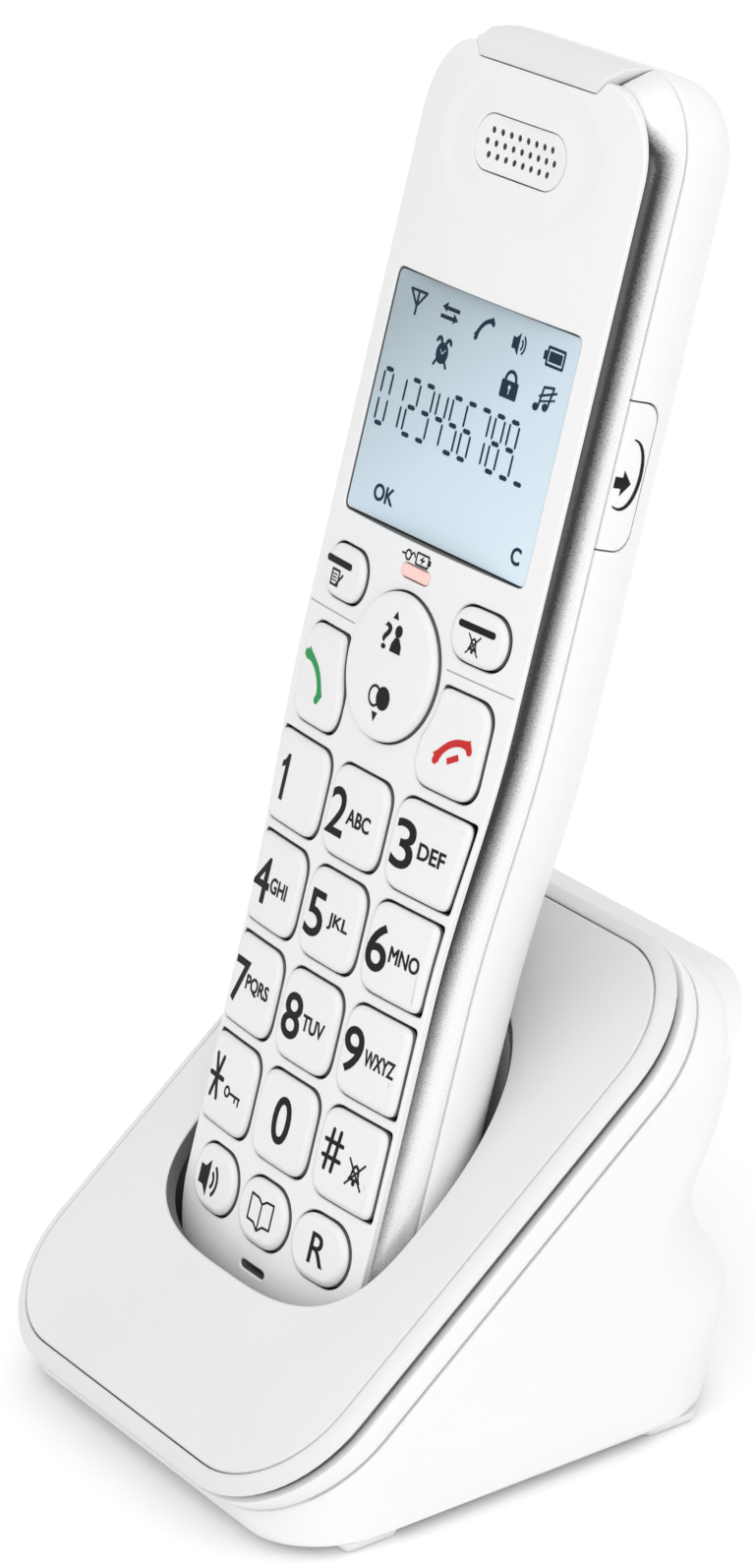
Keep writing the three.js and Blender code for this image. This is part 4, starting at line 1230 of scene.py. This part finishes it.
def segment_digit(digit, x, z, width, height):
    """Seven-segment figure with pointed gaps, its lower left corner at x, z."""
    lit = {"0": "abcdef", "1": "bc", "2": "abged", "3": "abgcd", "4": "fgbc", "5": "afgcd", "6": "afgedc",
           "7": "abc", "8": "abcdefg", "9": "abcdfg", "_": "d"}[digit]
    bar, post, gap = 0.58, 0.36, 0.14
    mid, top = z + height / 2, z + height
    flat = lambda cz: capsule((x + gap + bar / 2, cz), (x + width - gap - bar / 2, cz), bar, 2)
    upright = lambda cx, low: capsule((cx, low + gap + post), (cx, low + height / 2 - gap - post), post, 2)
    shapes = {"a": flat(top), "g": flat(mid), "d": flat(z), "f": upright(x, mid),
              "b": upright(x + width, mid), "e": upright(x, z), "c": upright(x + width, z)}
    return [(shapes[s], True) for s in lit]


def print_display():
    glass = flat_at(GLASS)
    parts = stroke([(-17.5, 131.0), (-13.8, 131.0), (-15.65, 129.1)], 0.34, closed=True)
    parts += stroke([(-15.65, 131.0), (-15.65, 128.1)], 0.4)
    for flip, z in ((1, 130.35), (-1, 129.2)):
        at = lambda dx, dz: (-7.85 + flip * dx, z + dz)
        parts += solid([at(-2.0, 0), at(-0.9, 0.72), at(-0.9, 0.24), at(2.0, 0.24), at(2.0, -0.24),
                        at(-0.9, -0.24), at(-0.9, -0.5)][::flip])
    parts += handset_symbol(0.15, 129.7, 1.85, 0.3)
    parts += speaker_symbol(8.2, 129.5, 3.0)
    parts += [(rounded_box(14.4, 18.4, 128.3, 130.8, 0.3), True),
              (rounded_box(13.8, 14.5, 129.0, 130.1, 0.1), True)]
    parts += hole([(rounded_box(14.75, 18.05, 128.65, 130.45, 0.15), True)])
    parts += [(rounded_box(15.0, 17.8, 128.9, 130.2, 0.05), True)]
    parts += disc(-7.7, 124.8, 1.35) + arc_band(-8.75, 126.1, 0.5, 0.5, -10, 190, 12)
    parts += arc_band(-6.65, 126.1, 0.5, 0.5, -10, 190, 12)
    parts += stroke([(-8.6, 123.9), (-9.1, 123.2)], 0.4) + stroke([(-6.8, 123.9), (-6.3, 123.2)], 0.4)
    parts += hole(stroke([(-7.0, 125.3), (-7.7, 124.7), (-8.2, 125.2)], 0.2))
    parts += [(rounded_box(6.4, 10.1, 122.7, 124.9, 0.25), True)] + arc_band(8.25, 124.9, 1.15, 0.45, 0, 180)
    parts += hole(disc(8.25, 124.1, 0.32, sides=16) + stroke([(8.25, 124.0), (8.25, 123.3)], 0.26))
    parts += disc(14.5, 123.2, 0.62, 0.5, 20) + disc(16.5, 123.5, 0.62, 0.5, 20)
    parts += stroke([(15.0, 123.2), (15.5, 125.8), (17.6, 126.1), (17.0, 123.5)], 0.34)
    parts += stroke([(14.9, 124.6), (18.3, 125.6)], 0.3) + stroke([(15.2, 124.0), (18.2, 124.7)], 0.25)
    for i, digit in enumerate("0123456789_"):
        parts += segment_digit(digit, -19.2 + 3.28 * i, 113.5, 2.05, 6.9)
    parts += word("OK", (-15.5, -10.8, 104.3, 106.5), 0.075) + word("C", (16.8, 18.9, 104.2, 106.4), 0.075)
    ink("display_figures", parts, glass, "navy", "handset")


def print_plate():
    parts = stroke([(-3.7, 100.2), (-2.9, 100.2)], 0.24) + arc_band(-2.3, 100.2, 0.6, 0.26, 0, 359, 28)
    parts += ribbon(bend((-1.7, 100.2), (-1.2, 101.2), (-0.7, 100.2)), 0.22)
    parts += [(rounded_box(-0.5, 2.5, 99.4, 101.1, 0.25), True),
              (rounded_box(2.5, 2.9, 99.9, 100.6, 0.05), True)]
    parts += hole([(rounded_box(-0.25, 2.25, 99.65, 100.85, 0.12), True)])
    parts += solid([(1.25, 100.8), (0.35, 100.15), (0.95, 100.15), (0.75, 99.7), (1.65, 100.35),
                    (1.05, 100.35)])
    ink("charge_symbol", parts, crown, "ink", "handset")
    for name, side in (("left", -1), ("right", 1)):
        line = ribbon([(side * x, 89.1) for x in np.linspace(11.0, 24.2, 30)], 0.18)
        ink(f"divider_{name}", line, crown, "fine_line", "handset", lift=0.02)


DIGITS = (("key_1", "1", (-20.0, -18.1, 63.9, 69.9), "", None),
          ("key_2", "2", (-5.7, -1.6, 63.6, 69.7), "ABC", (-1.3, 4.1, 65.7, 67.8)),
          ("key_3", "3", (9.4, 13.8, 63.8, 70.0), "DEF", (14.6, 19.9, 66.0, 68.1)),
          ("key_4", "4", (-20.5, -16.0, 50.5, 56.5), "GHI", (-15.7, -11.1, 52.4, 54.5)),
          ("key_5", "5", (-5.4, -1.2, 50.4, 56.4), "JKL", (-0.1, 4.5, 52.4, 54.6)),
          ("key_6", "6", (9.1, 13.4, 50.5, 56.6), "MNO", (13.8, 19.8, 52.5, 54.6)),
          ("key_7", "7", (-20.0, -15.9, 37.0, 42.9), "PQRS", (-16.2, -9.8, 39.1, 41.4)),
          ("key_8", "8", (-5.3, -0.9, 37.0, 43.0), "TUV", (-0.5, 4.6, 39.0, 41.1)),
          ("key_9", "9", (9.1, 13.2, 37.3, 43.2), "WXYZ", (13.7, 19.8, 39.1, 41.2)),
          ("key_0", "0", (-2.1, 2.1, 24.0, 30.2), "", None))


def figure_one(x0, x1, z0, z1):
    return solid([(x1 - 0.95, z0), (x1, z0), (x1, z1), (x1 - 0.7, z1), (x1 - 1.15, z1 - 0.8), (x0, z1 - 1.25),
                  (x0, z1 - 2.05), (x1 - 0.95, z1 - 1.6)])


def print_keys():
    for node, digit, box, letters, small in DIGITS:
        parts = word(digit, box, 0.10) if digit != "1" else figure_one(*box)
        if letters:
            parts += word(letters, small, 0.065)
        ink(f"{node}_legend", parts, key_top, "ink", node)
    star = []
    for degrees, squeeze in ((60, 1), (120, 1), (180, 0.95)):
        x = 1.9 * math.cos(math.radians(degrees)) * squeeze
        z = 3.1 * math.sin(math.radians(degrees))
        star += stroke([(-18.1 + x, 27.1 + z), (-18.1 - x, 27.1 - z)], 0.66)
    lock = arc_band(-14.5, 26.1, 0.62, 0.34, 0, 359, 28) + stroke([(-13.8, 26.1), (-10.9, 26.1)], 0.34)
    lock += stroke([(-11.1, 26.1), (-11.1, 25.2)], 0.32) + stroke([(-12.1, 26.1), (-12.1, 25.4)], 0.32)
    ink("key_star_legend", star + lock, key_top, "ink", "key_star")
    hash_mark = []
    for d in (-0.75, 0.75):
        hash_mark += stroke([(11.85 + d - 0.25, 24.8), (11.85 + d + 0.25, 29.9)], 0.6)
        hash_mark += stroke([(10.1, 27.35 + d * 1.35), (13.7, 27.35 + d * 1.35)], 0.55)
    ink("key_hash_legend", hash_mark + bell_symbol(17.1, 26.0, 3.3), key_top, "ink", "key_hash")
    ink("key_speaker_legend", speaker_symbol(-14.1, 14.6, 5.2), key_top, "ink", "key_speaker")
    book = []
    for flip in (-1, 1):
        page = [(0.1, 16.0), (0.1 + flip * 1.0, 16.6), (0.1 + flip * 2.7, 16.7), (0.1 + flip * 2.7, 13.4),
                (0.1 + flip * 1.1, 13.3), (0.1, 12.5)]
        book += stroke(page, 0.3) + stroke([page[0], page[-1]], 0.26)
    ink("key_phonebook_legend", book, key_top, "ink", "key_phonebook")
    ink("key_recall_legend", word("R", (11.8, 15.1, 12.8, 16.8), 0.03), key_top, "ink", "key_recall")


def print_controls():
    bar = lambda x0, x1: stroke([(x0 + 0.45, 95.45), (x1 - 0.45, 95.45)], 0.9)
    page = [(rounded_box(-18.7, -16.4, 92.3, 94.5, 0.15), True)]
    page += hole([(rounded_box(-18.4, -16.7, 92.6, 94.2, 0.1), True)])
    for z in (93.0, 93.4, 93.8):
        page += stroke([(-18.2, z), (-17.1, z)], 0.16)
    page += stroke([(-16.9, 92.7), (-15.6, 94.0)], 0.34)
    ink("softkey_left_legend", bar(-20.8, -13.7) + page, key_top, "ink", "softkey_left")
    bell = bell_symbol(15.7, 93.4, 2.4)
    ink("softkey_right_legend", bar(12.1, 19.4) + bell, key_top, "ink", "softkey_right")
    talk = handset_symbol(-17.2, 80.7, 3.3, math.radians(-62))
    ink("talk_legend", talk, key_top, "green", "talk_key")
    end = handset_symbol(16.5, 80.2, 3.0, math.radians(6))
    block_mark = [(np.array([(-1.1, -0.4), (1.1, -0.4), (1.1, 0.4), (-1.1, 0.4)]) @
                   np.array([[0.88, 0.47], [-0.47, 0.88]]) + (16.9, 79.3), True)]
    ink("end_legend", end + block_mark, key_top, "red", "end_key")
    nav = solid([(-0.65, 92.4), (0.65, 92.4), (0.0, 93.4)])
    nav += solid([(0.0, 79.3), (0.65, 80.5), (-0.65, 80.5)])
    nav += word("?", (-1.95, -0.25, 88.3, 91.7), 0.05)
    nav += disc(1.3, 91.1, 0.78)
    nav += solid([(0.2, 88.4), (2.6, 88.4), (2.5, 89.4), (1.75, 90.3), (0.9, 90.3), (0.3, 89.4)])
    nav += arc_band(-0.75, 82.4, 1.25, 0.34, 0, 359, 40) + disc(1.2, 82.5, 1.5)
    ink("nav_legend", nav, nav_top, "ink", "nav_key")


def side_height(points):
    """The handset's right side at the side key, seen from the right."""
    out = []
    for y, z in points:
        if y <= SHELL_BEND:
            grow = BAND_GROW
        else:
            angle = math.asin(min(1, (y - SHELL_BEND) / (SHELL_BACK - SHELL_BEND)))
            grow = BAND_GROW - SHELL_SIDE_ROUND * (1 - math.cos(angle))
        out.append(half_width(z) + grow)
    return np.array(out)


def print_side_key():
    parts = solid([(5.9, 116.6), (7.0, 116.6), (7.0, 115.7), (8.4, 117.3), (7.0, 118.9), (7.0, 118.0),
                   (5.9, 118.0)])
    sweep = np.radians(np.linspace(88, -112, 40))
    path = np.c_[7.3 + 2.5 * np.cos(sweep), 118.4 + 4.3 * np.sin(sweep)]
    parts += ribbon(path, 0.10 + 0.55 * np.sin(np.linspace(0.1, math.pi - 0.1, 40)))
    ink("boost_key_legend", parts, side_height, "ink", "boost_key", lay=RIGHT_SIDE)


# ---------------------------------------------------------------- everything
def lay_floor():
    size, steps = 4.0, 8
    grid = np.linspace(-size, size, steps + 1)
    verts = [(x, y, 0.0) for y in grid for x in grid]
    row = steps + 1
    faces = [(r * row + c, r * row + c + 1, (r + 1) * row + c + 1, (r + 1) * row + c)
             for r in range(steps) for c in range(steps)]
    floor = new_mesh("floor", verts, faces, Matrix.Identity(4), "floor")


def dress_cad_nodes():
    """CAD nodes that keep their own shape take the material of their slot."""
    slots = {part["node"]: part["material_slot"] for part in frame["record"]["subparts"]}
    dark_inside = {"earpiece_receiver": "dark", "microphone": "dark"}
    for name, node in frame["nodes"].items():
        node.data.materials.clear()
        node.data.materials.append(MATERIALS[dark_inside.get(name, slots[name])])


place_camera()
light_scene()
lay_floor()
dress_cad_nodes()
build_front_plate()
build_keys()
build_display()
build_earpiece()
build_lens()
build_side_band()
build_rear_shell()
build_handset_hardware()
build_top()
build_body()
build_cup()
build_underside()
print_display()
print_plate()
print_keys()
print_controls()
print_side_key()
